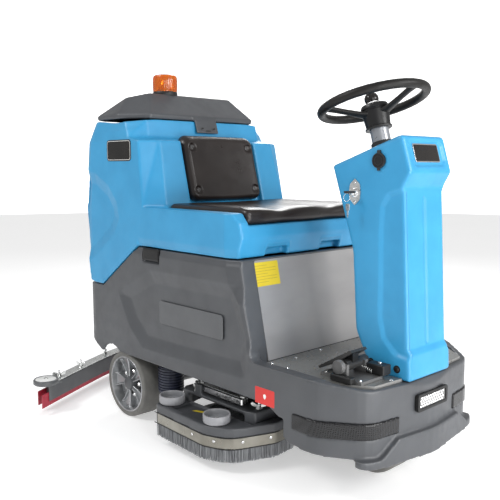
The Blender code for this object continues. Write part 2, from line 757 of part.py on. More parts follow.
def make_drive_motor(mats):
    y = DRIVE_Y
    return cylinder("drive_motor", (0.0745, y, DRIVE_R), (0.150, y, DRIVE_R), 0.055, 20, mats["steel"])


def wheel_profile(outer, inner, half_width, edge):
    return [(inner, -half_width), (outer - edge, -half_width), (outer, -half_width + edge),
            (outer, half_width - edge), (outer - edge, half_width), (inner, half_width)]


def make_front_wheel(mats):
    at = (0.0, DRIVE_Y, DRIVE_R)
    tyre = turned("front_tyre", wheel_profile(DRIVE_R, 0.0950, DRIVE_W / 2, 0.006), at, (1, 0, 0), 36,
                  mats["tyre"])
    hub = turned("front_hub", [
        (0.0, -0.0610), (0.0154, -0.0610), (0.0154, -0.044), (0.040, -0.040), (0.0943, -0.040),
        (0.0943, 0.040), (0.040, 0.040), (0.0154, 0.044), (0.0154, 0.0735), (0.0, 0.0735)],
        at, (1, 0, 0), 24, mats["alloy"])
    return tyre, hub


def make_rear_wheel(mats, side, label):
    """Polyurethane tyre on a dished alloy rim; side is -1 on the operator's right."""
    middle = side * (WHEEL_X - WHEEL_W / 2)
    at = (middle, WHEEL_Y, WHEEL_R)
    tyre = turned(f"rear_tyre_{label}", wheel_profile(WHEEL_R, 0.1035, WHEEL_W / 2, 0.007), at,
                  (side, 0, 0), 36, mats["tyre"])
    rim = turned(f"rear_rim_{label}", [
        (0.0205, -0.036), (0.1031, -0.046), (0.1031, 0.046), (0.096, 0.046), (0.086, 0.020),
        (0.036, 0.030), (0.033, 0.042), (0.0, 0.043), (0.0, 0.010), (0.0205, 0.010)],
        at, (side, 0, 0), 24, mats["alloy"])
    return tyre, rim


def make_rear_axle(mats):
    reach = WHEEL_X - WHEEL_W / 2 + 0.0095
    axle = cylinder("rear_axle", (-reach, WHEEL_Y, WHEEL_R), (reach, WHEEL_Y, WHEEL_R), 0.0202, 16,
                    mats["steel"])
    gearcase = tool_cylinder("axle_case", (-0.10, WHEEL_Y, WHEEL_R), (0.10, WHEEL_Y, WHEEL_R), 0.045, 16)
    join(axle, gearcase)
    return axle


# ---------------------------------------------------------------- chassis and inner parts
def make_chassis(mats):
    high = BAY_Z - 0.0005
    low = 0.306
    rail_left = box("chassis_frame", (0.150, -0.780, low), (0.190, 0.500, high), mats["steel"])
    join(rail_left, tool_box("rail_right", (-0.190, -0.780, low), (-0.150, 0.500, high)))
    crossings = ((-0.780, -0.740), (DRIVE_Y - 0.045, DRIVE_Y + 0.045), (-0.020, 0.030), (0.460, 0.500))
    for n, (near, far) in enumerate(crossings):
        join(rail_left, tool_box(f"cross_{n}", (-0.185, near, low + 0.003), (0.185, far, high - 0.002)))
    cut(rail_left, tool_cylinder("kingpin_bore", (0, DRIVE_Y, 0.2), (0, DRIVE_Y, 0.4), 0.0205, 16))
    for side in (-1, 1):
        top = WHEEL_R + 0.0205
        near = min(side * 0.158, side * 0.182)
        far = max(side * 0.158, side * 0.182)
        join(rail_left, tool_box(f"axle_hanger_{side}", (near, WHEEL_Y - 0.035, top),
                                 (far, WHEEL_Y + 0.035, low + 0.01)))
        clevis_near = min(side * 0.0325, side * 0.0425)
        clevis_far = max(side * 0.0325, side * 0.0425)
        join(rail_left, tool_box(f"squeegee_hanger_{side}", (clevis_near, 0.468, 0.190),
                                 (clevis_far, 0.498, low + 0.01)))
    return rail_left


def make_battery(mats):
    low = (-0.290, -0.285, 0.3505)
    return box("battery_pack", low, (0.110, 0.180, 0.620), mats["black"], bevel=0.006)


def make_vacuum_motor(mats):
    return turned("vacuum_motor", [
        (0.0, 0.3505), (0.072, 0.3505), (0.072, 0.430), (0.060, 0.440), (0.060, 0.520),
        (0.045, 0.532), (0.0, 0.532)], (0.205, -0.060, 0.0), (0, 0, 1), 20, mats["black"])


# ---------------------------------------------------------------- brush deck
def deck_plan(inset=0.0):
    """D-shaped plan of the operator's-left half of the deck, from the middle outwards."""
    side = DECK_SIDE - inset
    front = -0.432 + inset
    rear = 0.005 - inset
    return rounded([
        (0.10, front + 0.015, 0.0),
        (0.250, front, 0.06),
        (side - 0.030, front + 0.058, 0.10),
        (side + 0.004, front + 0.150, 0.08),
        (side - 0.006, rear, 0.020),
        (0.10, rear, 0.0),
    ], 3)


def flipped(outline, side):
    return [(side * a, b) for a, b in outline]


def make_deck_housing(mats):
    plan = mirror_outline([(0.0, -0.385), (0.300, -0.385), (0.3155, -0.350), (0.3155, -0.015),
                           (0.290, 0.005), (0.0, 0.005)])
    deck = prism("deck_housing", plan, "Z", 0.128, 0.190, mats["grey"])
    for side in (-1, 1):
        room = tool_cylinder(f"brush_room_{side}", (side * DECK_X, DECK_Y, 0.100),
                             (side * DECK_X, DECK_Y, 0.178), BRUSH_R - 0.006, 28)
        cut(deck, room)
        cut(deck, tool_cylinder(f"motor_shaft_hole_{side}", (side * DECK_X, DECK_Y, 0.10),
                                (side * DECK_X, DECK_Y, 0.30), 0.026, 16))
    cut(deck, tool_box("deck_gap", (-0.30, -0.30, 0.100), (0.30, -0.08, 0.178)))
    lug = tool_box("lift_lug", (-0.3150, -0.115, 0.185), (-0.3035, -0.080, 0.2250))
    join(deck, lug)
    return deck


def make_skirt_cover(mats, side, label):
    plan = flipped(deck_plan(), side)
    cover = prism(f"skirt_cover_{label}", plan, "Z", BAND_HIGH + 0.0005, COVER_TOP, mats["grey"])
    inner = tool_box(f"cover_room_{label}", sorted_box(side, 0.0, 0.3165)[0] + (-0.390, 0.10),
                     sorted_box(side, 0.0, 0.3165)[1] + (0.10, 0.3))
    cut(cover, inner)
    ledge = tool_prism(f"cover_ledge_{label}", flipped(deck_plan(0.022), side), "Z", 0.146, 0.30)
    ledge_keep = tool_box(f"ledge_part_{label}", sorted_box(side, 0.322, 0.60)[0] + (-0.300, 0.10),
                          sorted_box(side, 0.322, 0.60)[1] + (-0.070, 0.40))
    keep(ledge, ledge_keep)
    cut(cover, ledge)
    return cover


def sorted_box(side, near, far):
    """The low and high x of a span, mirrored to a side, as one-item tuples."""
    return (min(side * near, side * far),), (max(side * near, side * far),)


def make_skirt(mats, side, label):
    """The brush seal: a band that clamps a curtain of bristles round the deck's side."""
    span_low, span_high = sorted_box(side, 0.105, 0.60)
    band = prism(f"clamp_band_{label}", flipped(deck_plan(), side), "Z", BAND_LOW, BAND_HIGH, mats["bright"])
    cut(band, tool_prism(f"band_core_{label}", flipped(deck_plan(0.004), side), "Z", 0.0, 0.3))
    keep(band, tool_box(f"band_span_{label}", (min(side * 0.15, side * 0.6), -0.60, 0.0),
                        (max(side * 0.15, side * 0.6), -0.012, 0.3)))
    curtain = prism(f"bristle_skirt_{label}", flipped(deck_plan(0.0045), side), "Z", BRISTLE_LOW, BAND_HIGH,
                    mats["bristle"])
    cut(curtain, tool_prism(f"curtain_core_{label}", flipped(deck_plan(0.0165), side), "Z", 0.0, 0.3))
    keep(curtain, tool_box(f"curtain_span_{label}", span_low + (-0.60, 0.0), span_high + (-0.006, 0.3)))
    return band, curtain


def make_brush_motor(mats, side, label):
    return turned(f"brush_motor_{label}", [
        (0.0, 0.1905), (0.062, 0.1905), (0.062, 0.200), (0.054, 0.204), (0.054, 0.285),
        (0.044, 0.292), (0.0, 0.292)], (side * DECK_X, DECK_Y, 0.0), (0, 0, 1), 20, mats["steel"])


def make_disc_brush(mats, side, label):
    return turned(f"disc_brush_{label}", [
        (0.0, 0.095), (0.060, 0.095), (0.070, BRISTLE_LOW), (BRUSH_R - 0.012, BRISTLE_LOW),
        (BRUSH_R - 0.012, 0.100), (0.120, 0.118), (0.024, 0.126), (0.024, 0.1895), (0.0, 0.1895)],
        (side * DECK_X, DECK_Y, 0.0), (0, 0, 1), 32, mats["bristle"])


ROLLERS = ((0.381, -0.034), (0.388, -0.290))


def make_guide_roller(mats, side, n, label):
    """An open cup that turns on a bolt and rolls along walls."""
    x, y = ROLLERS[n]
    low = COVER_TOP + 0.0005
    return turned(f"guide_roller_{label}_{('rear', 'front')[n]}", [
        (0.0, low), (0.040, low), (0.0465, low + 0.004), (0.0465, low + 0.030), (0.0425, low + 0.030),
        (0.0405, low + 0.008), (0.012, low + 0.008), (0.010, low + 0.012), (0.0, low + 0.012)],
        (side * x, y, 0.0), (0, 0, 1), 20, mats["roller"])


def make_lift_arm(mats):
    """Bright link beside the deck: its front end turns on the frame, its rear end drops with the deck."""
    low = (-0.3030, -0.320, 0.196)
    return box("deck_lift_arm", low, (-0.2710, -0.080, 0.222), mats["bright"], bevel=0.004)


# ---------------------------------------------------------------- squeegee
def vee(offset, half):
    """The squeegee's middle line in plan, swept forward each side of a round middle."""
    stations = [x for x in (0.05, 0.10, 0.20, 0.35, SQUEEGEE_HALF - 0.03) if x < half] + [half]
    line = []
    for x in [-x for x in stations[::-1]] + [0.0] + stations:
        y = SQUEEGEE_Y + offset - SQUEEGEE_SWEEP * (math.sqrt(x * x + 0.10 ** 2) - 0.10)
        line.append((x, y))
    return line


def vee_strip(name, rear, front, half, low, high, mat=None, collection=PARTS):
    outline = vee(rear, half) + vee(front, half)[::-1]
    return prism(name, outline, "Z", low, high, mat, collection)


def make_squeegee(mats):
    body = vee_strip("squeegee_body", 0.024, -0.024, SQUEEGEE_HALF, 0.056, 0.112, mats["grey"])
    plate = vee_strip("squeegee_plate", 0.0282, -0.020, SQUEEGEE_HALF - 0.03, 0.110, 0.116, None, CUTTERS)
    spigot = tool_cylinder("squeegee_spigot", (0, SQUEEGEE_Y - 0.005, 0.110),
                           (0, SQUEEGEE_Y - 0.005, 0.185), 0.0245, 16)
    join(body, plate, spigot)
    cut(body, vee_strip("squeegee_slot", 0.015, -0.015, SQUEEGEE_HALF - 0.03, 0.040, 0.095, None, CUTTERS))
    cut(body, tool_cylinder("spigot_bore", (0, SQUEEGEE_Y - 0.005, 0.080),
                            (0, SQUEEGEE_Y - 0.005, 0.200), 0.0200, 16))
    front = vee_strip("squeegee_blade_front", -0.0244, -0.0284, BLADE_HALF, 0.033, 0.088, mats["red"])
    rear = vee_strip("squeegee_blade_rear", 0.0284, 0.0244, BLADE_HALF - 0.012, BLADE_LOW, 0.088, mats["red"])
    for side, label in ((-1, "right"), (1, "left")):
        x, y = ROLLER_AT
        join(body, tool_box(f"roller_bracket_{label}", (min(side * 0.495, side * (x + 0.014)), y - 0.014, 0.1110),
                            (max(side * 0.495, side * (x + 0.014)), y + 0.022, 0.1175)))
    return body, front, rear


def make_squeegee_roller(mats, side, label):
    x, y = ROLLER_AT
    return turned(f"squeegee_roller_{label}", [
        (0.0, 0.1180), (0.046, 0.1180), (0.0500, 0.121), (0.0500, 0.136), (0.046, 0.1390), (0.0, 0.1390)],
        (side * x, y, 0.0), (0, 0, 1), 20, mats["roller"])


def make_squeegee_arm(mats):
    """Lifting arm: pivots on the frame's clevis, and carries the squeegee's swing pin."""
    y = 0.483
    arm = box("squeegee_arm", (-0.032, y - 0.014, 0.196), (0.032, 0.640, 0.216), mats["steel"])
    drop = tool_prism("arm_drop", [(0.600, 0.196), (0.640, 0.216), (0.800, 0.150), (0.800, 0.130),
                                   (0.740, 0.130)], "X", -0.032, 0.032)
    join(arm, drop)
    pin = tool_cylinder("arm_pin", (-0.0320, y, 0.206), (0.0320, y, 0.206), 0.014, 16)
    join(arm, pin)
    return arm


# ---------------------------------------------------------------- pedal and controls
def make_pedal(mats):
    base = box("pedal_base", (-0.262, -0.790, FLOOR_Z + PLATE_T + 0.0005), (-0.160, -0.635, 0.3800),
               mats["black"])
    for n, x in enumerate((-0.262, -0.172)):
        join(base, tool_box(f"pedal_cheek_{n}", (x, -0.735, 0.375), (x + 0.012, -0.690, 0.420)))
    plate = prism("accelerator_pedal", [(-0.618, 0.3840), (-0.612, 0.3900), (-0.735, 0.4620),
                                        (-0.742, 0.4560), (-0.690, 0.4200)],
                  "X", -0.2480, -0.1740, mats["black"])
    drum = tool_cylinder("pedal_drum", (-0.2480, -0.712, 0.412), (-0.1740, -0.712, 0.412), 0.018, 14)
    web = tool_prism("pedal_web", [(-0.705, 0.40), (-0.668, 0.412), (-0.728, 0.450), (-0.728, 0.41)],
                     "X", -0.225, -0.197)
    join(plate, drum, web)
    return plate


def make_estop(mats):
    """Emergency stop: a mushroom button that travels along the panel's normal."""
    foot = Vector(BUTTON_FOOT)
    return turned("emergency_button", [(0.0, -0.008), (0.010, -0.008), (0.010, 0.012), (0.019, 0.014),
                                       (0.019, 0.022), (0.012, 0.027), (0.0, 0.028)], foot,
                  BUTTON_WAY, 16, mats["red_cap"])


def make_solution_filter(mats):
    return turned("solution_filter", [
        (0.0, 0.135), (0.040, 0.135), (0.050, 0.145), (0.050, 0.245), (0.030, 0.250),
        (0.030, 0.3340), (0.0, 0.3340)], (-0.275, 0.115, 0.0), (0, 0, 1), 20, mats["black"])


# ---------------------------------------------------------------- assembly
def build():
    clear_scene()
    mats = materials()
    make_base_shell(mats)
    make_front_bumper(mats)
    make_headlight(mats)
    make_corner_lamp(mats, "corner_lamp_right", -1)
    make_corner_lamp(mats, "corner_lamp_left", 1)
    make_footwell_panel(mats)
    make_floor_plate(mats)
    make_steering_column(mats)
    make_dash_panel(mats)
    make_key_switch(mats)
    make_chassis(mats)
    make_battery(mats)
    make_vacuum_motor(mats)
    make_rear_axle(mats)
    make_solution_filter(mats)

    pivot("tank_pivot", TANK_HINGE)
    tank = make_recovery_tank(mats)
    cushion, back = make_seat(mats)
    carry("tank_pivot", tank, cushion, back)
    pivot("lid_pivot", LID_HINGE, "tank_pivot")
    carry("lid_pivot", make_lid(mats), make_beacon(mats))
    pivot("latch_pivot", LATCH_HINGE)
    carry("latch_pivot", make_tank_latch(mats))

    pivot("steering_pivot", STEER_HUB)
    carry("steering_pivot", make_steering_wheel(mats), make_steering_shaft(mats))
    pivot("knob_pivot", knob_foot(), "steering_pivot")
    carry("knob_pivot", make_spinner_knob(mats))
    pivot("fork_pivot", (0.0, DRIVE_Y, 0.0))
    carry("fork_pivot", make_fork(mats), make_drive_motor(mats))
    pivot("drive_wheel_pivot", (0.0, DRIVE_Y, DRIVE_R), "fork_pivot")
    carry("drive_wheel_pivot", *make_front_wheel(mats))

    pivot("deck_pivot", (0.0, DECK_Y, 0.15))
    carry("deck_pivot", make_deck_housing(mats))
    pivot("lift_arm_pivot", (-0.287, -0.310, 0.209))
    carry("lift_arm_pivot", make_lift_arm(mats))
    for side, label in ((-1, "right"), (1, "left")):
        pivot(f"rear_wheel_pivot_{label}", (side * (WHEEL_X - WHEEL_W / 2), WHEEL_Y, WHEEL_R))
        carry(f"rear_wheel_pivot_{label}", *make_rear_wheel(mats, side, label))
        carry("deck_pivot", make_skirt_cover(mats, side, label), *make_skirt(mats, side, label))
        carry("deck_pivot", make_brush_motor(mats, side, label))
        pivot(f"brush_pivot_{label}", (side * DECK_X, DECK_Y, 0.10), "deck_pivot")
        carry(f"brush_pivot_{label}", make_disc_brush(mats, side, label))
        for n, (x, y) in enumerate(ROLLERS):
            pivot(f"roller_pivot_{label}_{n}", (side * x, y, 0.19), "deck_pivot")
            carry(f"roller_pivot_{label}_{n}", make_guide_roller(mats, side, n, label))

    pivot("squeegee_lift_pivot", (0.0, 0.483, 0.206))
    carry("squeegee_lift_pivot", make_squeegee_arm(mats))
    pivot("squeegee_swing_pivot", (0.0, 0.770, 0.120), "squeegee_lift_pivot")
    carry("squeegee_swing_pivot", *make_squeegee(mats))
    for side, label in ((-1, "right"), (1, "left")):
        pivot(f"squeegee_roller_pivot_{label}", (side * ROLLER_AT[0], ROLLER_AT[1], 0.12),
              "squeegee_swing_pivot")
        carry(f"squeegee_roller_pivot_{label}", make_squeegee_roller(mats, side, label))

    pivot("pedal_pivot", (-0.211, -0.712, 0.412))
    carry("pedal_pivot", make_pedal(mats))
    pivot("key_pivot", (-0.140, -0.638, 0.924))
    carry("key_pivot", make_key(mats))
    pivot("cap_pivot", (-COLUMN_HALF - 0.003, -0.727, 1.051))
    carry("cap_pivot", make_socket_cap(mats))
    pivot("button_pivot", BUTTON_FOOT)
    carry("button_pivot", make_estop(mats))
    bpy.context.view_layer.update()


build()
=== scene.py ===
"""Looks of the ride-on floor scrubber: moulded skins, pads, wheels, bristles, fittings and materials.

Metres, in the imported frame. The machine drives towards -Y and the operator's right is -X.
"""

import math
import random

import bmesh
import bpy
import numpy as np
from mathutils import Matrix, Vector


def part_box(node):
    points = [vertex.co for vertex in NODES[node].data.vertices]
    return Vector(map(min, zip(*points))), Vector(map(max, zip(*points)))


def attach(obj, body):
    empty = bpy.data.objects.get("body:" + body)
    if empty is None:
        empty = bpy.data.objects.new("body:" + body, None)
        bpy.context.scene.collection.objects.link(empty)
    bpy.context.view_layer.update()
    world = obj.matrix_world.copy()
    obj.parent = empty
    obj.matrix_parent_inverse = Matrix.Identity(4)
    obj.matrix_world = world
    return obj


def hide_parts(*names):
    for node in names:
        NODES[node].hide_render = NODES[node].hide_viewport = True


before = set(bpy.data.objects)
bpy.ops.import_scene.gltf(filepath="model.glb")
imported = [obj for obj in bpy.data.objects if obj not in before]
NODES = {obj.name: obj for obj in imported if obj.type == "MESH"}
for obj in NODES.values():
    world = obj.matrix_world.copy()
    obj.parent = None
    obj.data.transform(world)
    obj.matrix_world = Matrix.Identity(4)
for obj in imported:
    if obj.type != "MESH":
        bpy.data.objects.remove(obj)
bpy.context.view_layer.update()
UP = Vector((0.0, 0.0, 1.0))

# ---------------------------------------------------------------- sizes taken from the frame
BODY_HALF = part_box("base_shell")[1].x
COLUMN_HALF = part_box("steering_column")[1].x
WHEEL_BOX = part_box("rear_tyre_right")
WHEEL_R = (WHEEL_BOX[1].z - WHEEL_BOX[0].z) / 2
WHEEL_Y = (WHEEL_BOX[1].y + WHEEL_BOX[0].y) / 2
DRIVE_R = 0.125
DRIVE_Y = -0.658
BRISTLE_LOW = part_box("bristle_skirt_right")[0].z
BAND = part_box("clamp_band_right")
BAND_END = -BAND[1].x
FLOOR_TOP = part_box("floor_plate")[1].z
STEER_TILT = math.radians(16.0)
STEER_AXIS = Vector((0.0, math.sin(STEER_TILT), math.cos(STEER_TILT)))
STEER_HUB = Vector((0.0, -0.615, 1.205))
STEER_R = 0.168
RIM_R = 0.0145
SIDES = (("right", -1), ("left", 1))


def upright(node):
    """The box of an upright round node as its foot, its radius and its height."""
    low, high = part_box(node)
    return Vector(((low.x + high.x) / 2, (low.y + high.y) / 2, low.z)), (high.x - low.x) / 2, high.z - low.z


# ---------------------------------------------------------------- materials
def put(node, **values):
    """Sets sockets by name, with an underscore for each space."""
    for socket, value in values.items():
        node.inputs[socket.replace("_", " ")].default_value = value


def mix_colour(tree, factor, low, high):
    mix = tree.nodes.new("ShaderNodeMix")
    mix.data_type = "RGBA"
    tree.links.new(factor, mix.inputs[0])
    mix.inputs[6].default_value = (*low, 1.0)
    mix.inputs[7].default_value = (*high, 1.0)
    return mix


def noise(tree, coords, scale, detail=3.0, stretch=None):
    if stretch:
        mapping = tree.nodes.new("ShaderNodeMapping")
        put(mapping, Scale=stretch)
        tree.links.new(coords, mapping.inputs["Vector"])
        coords = mapping.outputs["Vector"]
    texture = tree.nodes.new("ShaderNodeTexNoise")
    put(texture, Scale=scale, Detail=detail)
    tree.links.new(coords, texture.inputs["Vector"])
    return texture.outputs[0]


def ranged(tree, value, low, high, start=0.25, end=0.75):
    scaled = tree.nodes.new("ShaderNodeMapRange")
    put(scaled, From_Min=start, From_Max=end)
    scaled.interpolation_type = "SMOOTHSTEP"
    put(scaled, To_Min=low, To_Max=high)
    tree.links.new(value, scaled.inputs["Value"])
    return scaled.outputs["Result"]


def surface(name, colour, second, rough, metallic=0.0, patch=9.0, grain=420.0, bump=0.12, depth=0.0004,
        stretch=None, grain_stretch=None, coat=0.0, wear=None, extra=None, gloss=0.5):
    """A procedural finish: patchy colour and roughness, fine grain as bump, and optional edge wear."""
    made = bpy.data.materials.new(name)
    made.use_nodes = True
    tree = made.node_tree
    shader = tree.nodes["Principled BSDF"]
    coords = tree.nodes.new("ShaderNodeTexCoord").outputs["Object"]
    patches = noise(tree, coords, patch, 4.0, stretch)
    colours = mix_colour(tree, ranged(tree, patches, 0.0, 1.0), colour, second)
    out = colours.outputs[2]
    if wear:
        edge = tree.nodes.new("ShaderNodeNewGeometry").outputs["Pointiness"]
        worn = ranged(tree, edge, 0.0, 1.0, 0.515, 0.6)
        rubbed = mix_colour(tree, worn, colour, wear)
        tree.links.new(out, rubbed.inputs[6])
        out = rubbed.outputs[2]
    tree.links.new(out, shader.inputs["Base Color"])
    smudge = noise(tree, coords, patch * 3.1, 5.0, stretch)
    tree.links.new(ranged(tree, smudge, rough[0], rough[1]), shader.inputs["Roughness"])
    put(shader, Metallic=metallic, Specular_IOR_Level=gloss, Coat_Weight=coat, Coat_Roughness=0.12)
    fine = noise(tree, coords, grain, 2.0, grain_stretch)
    relief = tree.nodes.new("ShaderNodeBump")
    put(relief, Strength=bump, Distance=depth)
    tree.links.new(fine, relief.inputs["Height"])
    tree.links.new(relief.outputs["Normal"], shader.inputs["Normal"])
    if extra:
        extra(tree, shader, coords, relief)
    return made


def weave(tree, shader, coords, relief):
    """A two-way checked pattern, as on carbon-look film."""
    mapping = tree.nodes.new("ShaderNodeMapping")
    put(mapping, Rotation=(0.6, 0.5, 0.78))
    tree.links.new(coords, mapping.inputs["Vector"])
    checks = tree.nodes.new("ShaderNodeTexChecker")
    put(checks, Scale=260.0, Color1=(0.022, 0.022, 0.024, 1), Color2=(0.004, 0.004, 0.0045, 1))
    tree.links.new(mapping.outputs["Vector"], checks.inputs["Vector"])
    tree.links.new(checks.outputs["Color"], shader.inputs["Base Color"])


def glassy(tree, shader, coords, relief):
    put(shader, Transmission_Weight=0.55, IOR=1.49, Subsurface_Weight=0.25, Subsurface_Scale=0.02)


def skin_like(tree, shader, coords, relief):
    """Leather-like cells on moulded foam."""
    cells = tree.nodes.new("ShaderNodeTexVoronoi")
    put(cells, Scale=420.0)
    tree.links.new(coords, cells.inputs["Vector"])
    pebble = tree.nodes.new("ShaderNodeBump")
    put(pebble, Strength=0.25, Distance=0.0005)
    tree.links.new(cells.outputs["Distance"], pebble.inputs["Height"])
    tree.links.new(relief.outputs["Normal"], pebble.inputs["Normal"])
    tree.links.new(pebble.outputs["Normal"], shader.inputs["Normal"])


BLUE = surface("blue_moulded", (0.028, 0.262, 0.5), (0.036, 0.298, 0.555), (0.34, 0.46), grain=650.0,
    bump=0.1, depth=0.0005, wear=(0.1, 0.36, 0.6))
GREY = surface("grey_moulded", (0.058, 0.061, 0.067), (0.07, 0.074, 0.081), (0.34, 0.48), grain=520.0,
    bump=0.18, depth=0.0006, wear=(0.13, 0.135, 0.14))
PANEL = surface("grey_painted_panel", (0.33, 0.32, 0.32), (0.4, 0.39, 0.385), (0.32, 0.46), 0.35, patch=3.0,
    grain=700.0, bump=0.16, depth=0.0003, stretch=(1.0, 1.0, 2.5))
TREAD = surface("dark_tread_plate", (0.035, 0.035, 0.033), (0.06, 0.06, 0.057), (0.24, 0.42), 0.6,
    patch=14.0, grain=260.0, bump=0.25, depth=0.0006, wear=(0.3, 0.3, 0.29))
BLACK = surface("black_plastic", (0.006, 0.006, 0.0065), (0.011, 0.011, 0.0115), (0.32, 0.48), grain=800.0,
    bump=0.14, depth=0.0003, wear=(0.03, 0.03, 0.03), gloss=0.32)
FOAM = surface("black_foam_grip", (0.006, 0.0055, 0.005), (0.011, 0.01, 0.0095), (0.36, 0.52), grain=900.0,
    bump=0.5, depth=0.0005, extra=skin_like, gloss=0.3)
STEEL = surface("painted_steel", (0.02, 0.02, 0.022), (0.036, 0.036, 0.038), (0.34, 0.5), 0.3, grain=600.0,
    bump=0.15, wear=(0.16, 0.16, 0.16))
ZINC = surface("zinc_plate", (0.56, 0.57, 0.56), (0.72, 0.73, 0.72), (0.22, 0.42), 1.0, patch=40.0,
    grain=300.0, bump=0.12, depth=0.0003)
CHROME = surface("bright_steel", (0.7, 0.7, 0.7), (0.82, 0.82, 0.82), (0.1, 0.24), 1.0, patch=30.0,
    bump=0.05)
BRUSHED = surface("brushed_band", (0.16, 0.15, 0.125), (0.4, 0.385, 0.34), (0.22, 0.36), 1.0, patch=5.0,
    grain=500.0, bump=0.2, depth=0.0002, grain_stretch=(0.15, 0.15, 6.0))
ALLOY = surface("cast_alloy", (0.36, 0.37, 0.38), (0.48, 0.49, 0.5), (0.26, 0.42), 0.9, patch=22.0,
    grain=500.0, bump=0.3, depth=0.0004, wear=(0.75, 0.75, 0.77))
TYRE = surface("grey_polyurethane", (0.125, 0.123, 0.115), (0.165, 0.162, 0.15), (0.55, 0.75), patch=26.0,
    grain=260.0, bump=0.5, depth=0.001, wear=(0.16, 0.157, 0.148))
SEAT = surface("moulded_seat_skin", (0.013, 0.0095, 0.0088), (0.022, 0.0165, 0.015), (0.27, 0.38),
    patch=7.0, grain=650.0, bump=0.2, depth=0.0004, extra=skin_like, gloss=0.42)
AMBER = surface("amber_lens", (0.72, 0.13, 0.006), (0.82, 0.19, 0.01), (0.1, 0.2), patch=40.0, bump=0.05,
    extra=glassy)
CLEAR = surface("lamp_lens", (0.2, 0.2, 0.2), (0.34, 0.34, 0.33), (0.1, 0.2), 0.5, patch=120.0, bump=0.1)
RED_RUBBER = surface("red_rubber", (0.34, 0.008, 0.03), (0.42, 0.014, 0.04), (0.38, 0.55), patch=20.0,
    bump=0.12)
BRISTLE = surface("grey_bristles", (0.12, 0.125, 0.135), (0.3, 0.31, 0.32), (0.5, 0.7), patch=170.0,
    bump=0.2, stretch=(1.0, 1.0, 0.06))
PALE_BRISTLE = surface("pale_bristles", (0.62, 0.6, 0.56), (0.82, 0.8, 0.76), (0.5, 0.7), patch=170.0,
    bump=0.2, stretch=(1.0, 1.0, 0.06))
ROLLER = surface("pale_roller", (0.225, 0.23, 0.245), (0.27, 0.275, 0.29), (0.36, 0.5), patch=18.0,
    bump=0.12, wear=(0.42, 0.42, 0.44))
YELLOW = surface("yellow_film", (0.62, 0.47, 0.02), (0.68, 0.53, 0.03), (0.3, 0.4), patch=12.0, bump=0.03)
RED_FILM = surface("red_film", (0.6, 0.02, 0.016), (0.66, 0.026, 0.02), (0.3, 0.42), patch=12.0, bump=0.03)
WHITE_FILM = surface("white_film", (0.75, 0.75, 0.73), (0.85, 0.85, 0.83), (0.3, 0.42), patch=30.0,
    bump=0.03)
INK = surface("dark_ink", (0.28, 0.21, 0.03), (0.34, 0.26, 0.04), (0.35, 0.45), patch=30.0, bump=0.03)
GLOSS = surface("gloss_black_plate", (0.01, 0.009, 0.009), (0.016, 0.014, 0.013), (0.12, 0.22), patch=10.0,
    bump=0.03, gloss=0.3)
CARBON = surface("carbon_film", (0.02, 0.02, 0.02), (0.03, 0.03, 0.03), (0.16, 0.26), patch=20.0, bump=0.05,
    extra=weave, gloss=0.4)
RED_CAP = surface("red_button", (0.62, 0.012, 0.012), (0.72, 0.02, 0.018), (0.18, 0.3), patch=20.0,
    bump=0.05)
NAVY = surface("navy_hose", (0.01, 0.013, 0.03), (0.016, 0.02, 0.042), (0.35, 0.5), patch=20.0, bump=0.1)
TUBE = surface("grey_tube", (0.3, 0.31, 0.33), (0.38, 0.39, 0.41), (0.25, 0.4), 0.4, patch=16.0, bump=0.1)


# ---------------------------------------------------------------- mesh helpers
def linked(name, data):
    obj = bpy.data.objects.new(name, data)
    bpy.context.scene.collection.objects.link(obj)
    return obj


def show(name, mesh, mat, body, replaced=(), smooth=35.0):
    """Puts a mesh into the scene as a piece of a body."""
    obj = linked(name, mesh)
    mesh.materials.clear()
    mesh.materials.append(mat)
    mesh.shade_smooth()
    if smooth:
        mesh.set_sharp_from_angle(angle=math.radians(smooth))
    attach(obj, body)
    if replaced:
        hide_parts(*replaced)
    return obj


def from_bm(name, bm, mat, body, replaced=(), smooth=35.0, bevel=0.0, segments=2):
    bmesh.ops.remove_doubles(bm, verts=bm.verts, dist=0.00001)
    bmesh.ops.recalc_face_normals(bm, faces=bm.faces)
    mesh = bpy.data.meshes.new(name)
    bm.to_mesh(mesh)
    bm.free()
    obj = show(name, mesh, mat, body, replaced, smooth)
    if bevel:
        rounded_edges(obj, bevel, segments)
    return obj


def rounded_edges(obj, width, segments=2, angle=35.0):
    step = obj.modifiers.new("rounded_edges", "BEVEL")
    step.width = width
    step.segments = segments
    step.limit_method = "ANGLE"
    step.angle_limit = math.radians(angle)
    step.harden_normals = True
    return obj


def frame_at(place, way):
    turn = UP.rotation_difference(Vector(way).normalized()).to_matrix().to_4x4()
    return Matrix.Translation(Vector(place)) @ turn


def add_turned(bm, profile, place, way, steps=48):
    """Adds a (radius, height) outline turned about a line through place."""
    verts = [bm.verts.new((r, 0.0, h)) for r, h in profile]
    edges = [bm.edges.new(pair) for pair in zip(verts, verts[1:])]
    bmesh.ops.spin(bm, geom=verts + edges, cent=(0, 0, 0), axis=(0, 0, 1), angle=math.tau, steps=steps,
        use_merge=True)
    touched = [v for v in bm.verts if v.is_valid and not v.tag]
    bmesh.ops.transform(bm, matrix=frame_at(place, way), verts=touched)
    for v in bm.verts:
        v.tag = True


def turned(name, profile, place, way, mat, body, replaced=(), steps=64, smooth=35.0):
    bm = bmesh.new()
    add_turned(bm, profile, place, way, steps)
    return from_bm(name, bm, mat, body, replaced, smooth)


def add_box(bm, low, high, matrix=None):
    made = bmesh.ops.create_cube(bm, size=1.0)
    low = Vector(low)
    high = Vector(high)
    bmesh.ops.scale(bm, vec=high - low, verts=made["verts"])
    bmesh.ops.translate(bm, vec=(high + low) / 2.0, verts=made["verts"])
    if matrix is not None:
        bmesh.ops.transform(bm, matrix=matrix, verts=made["verts"])
    for v in made["verts"]:
        v.tag = True


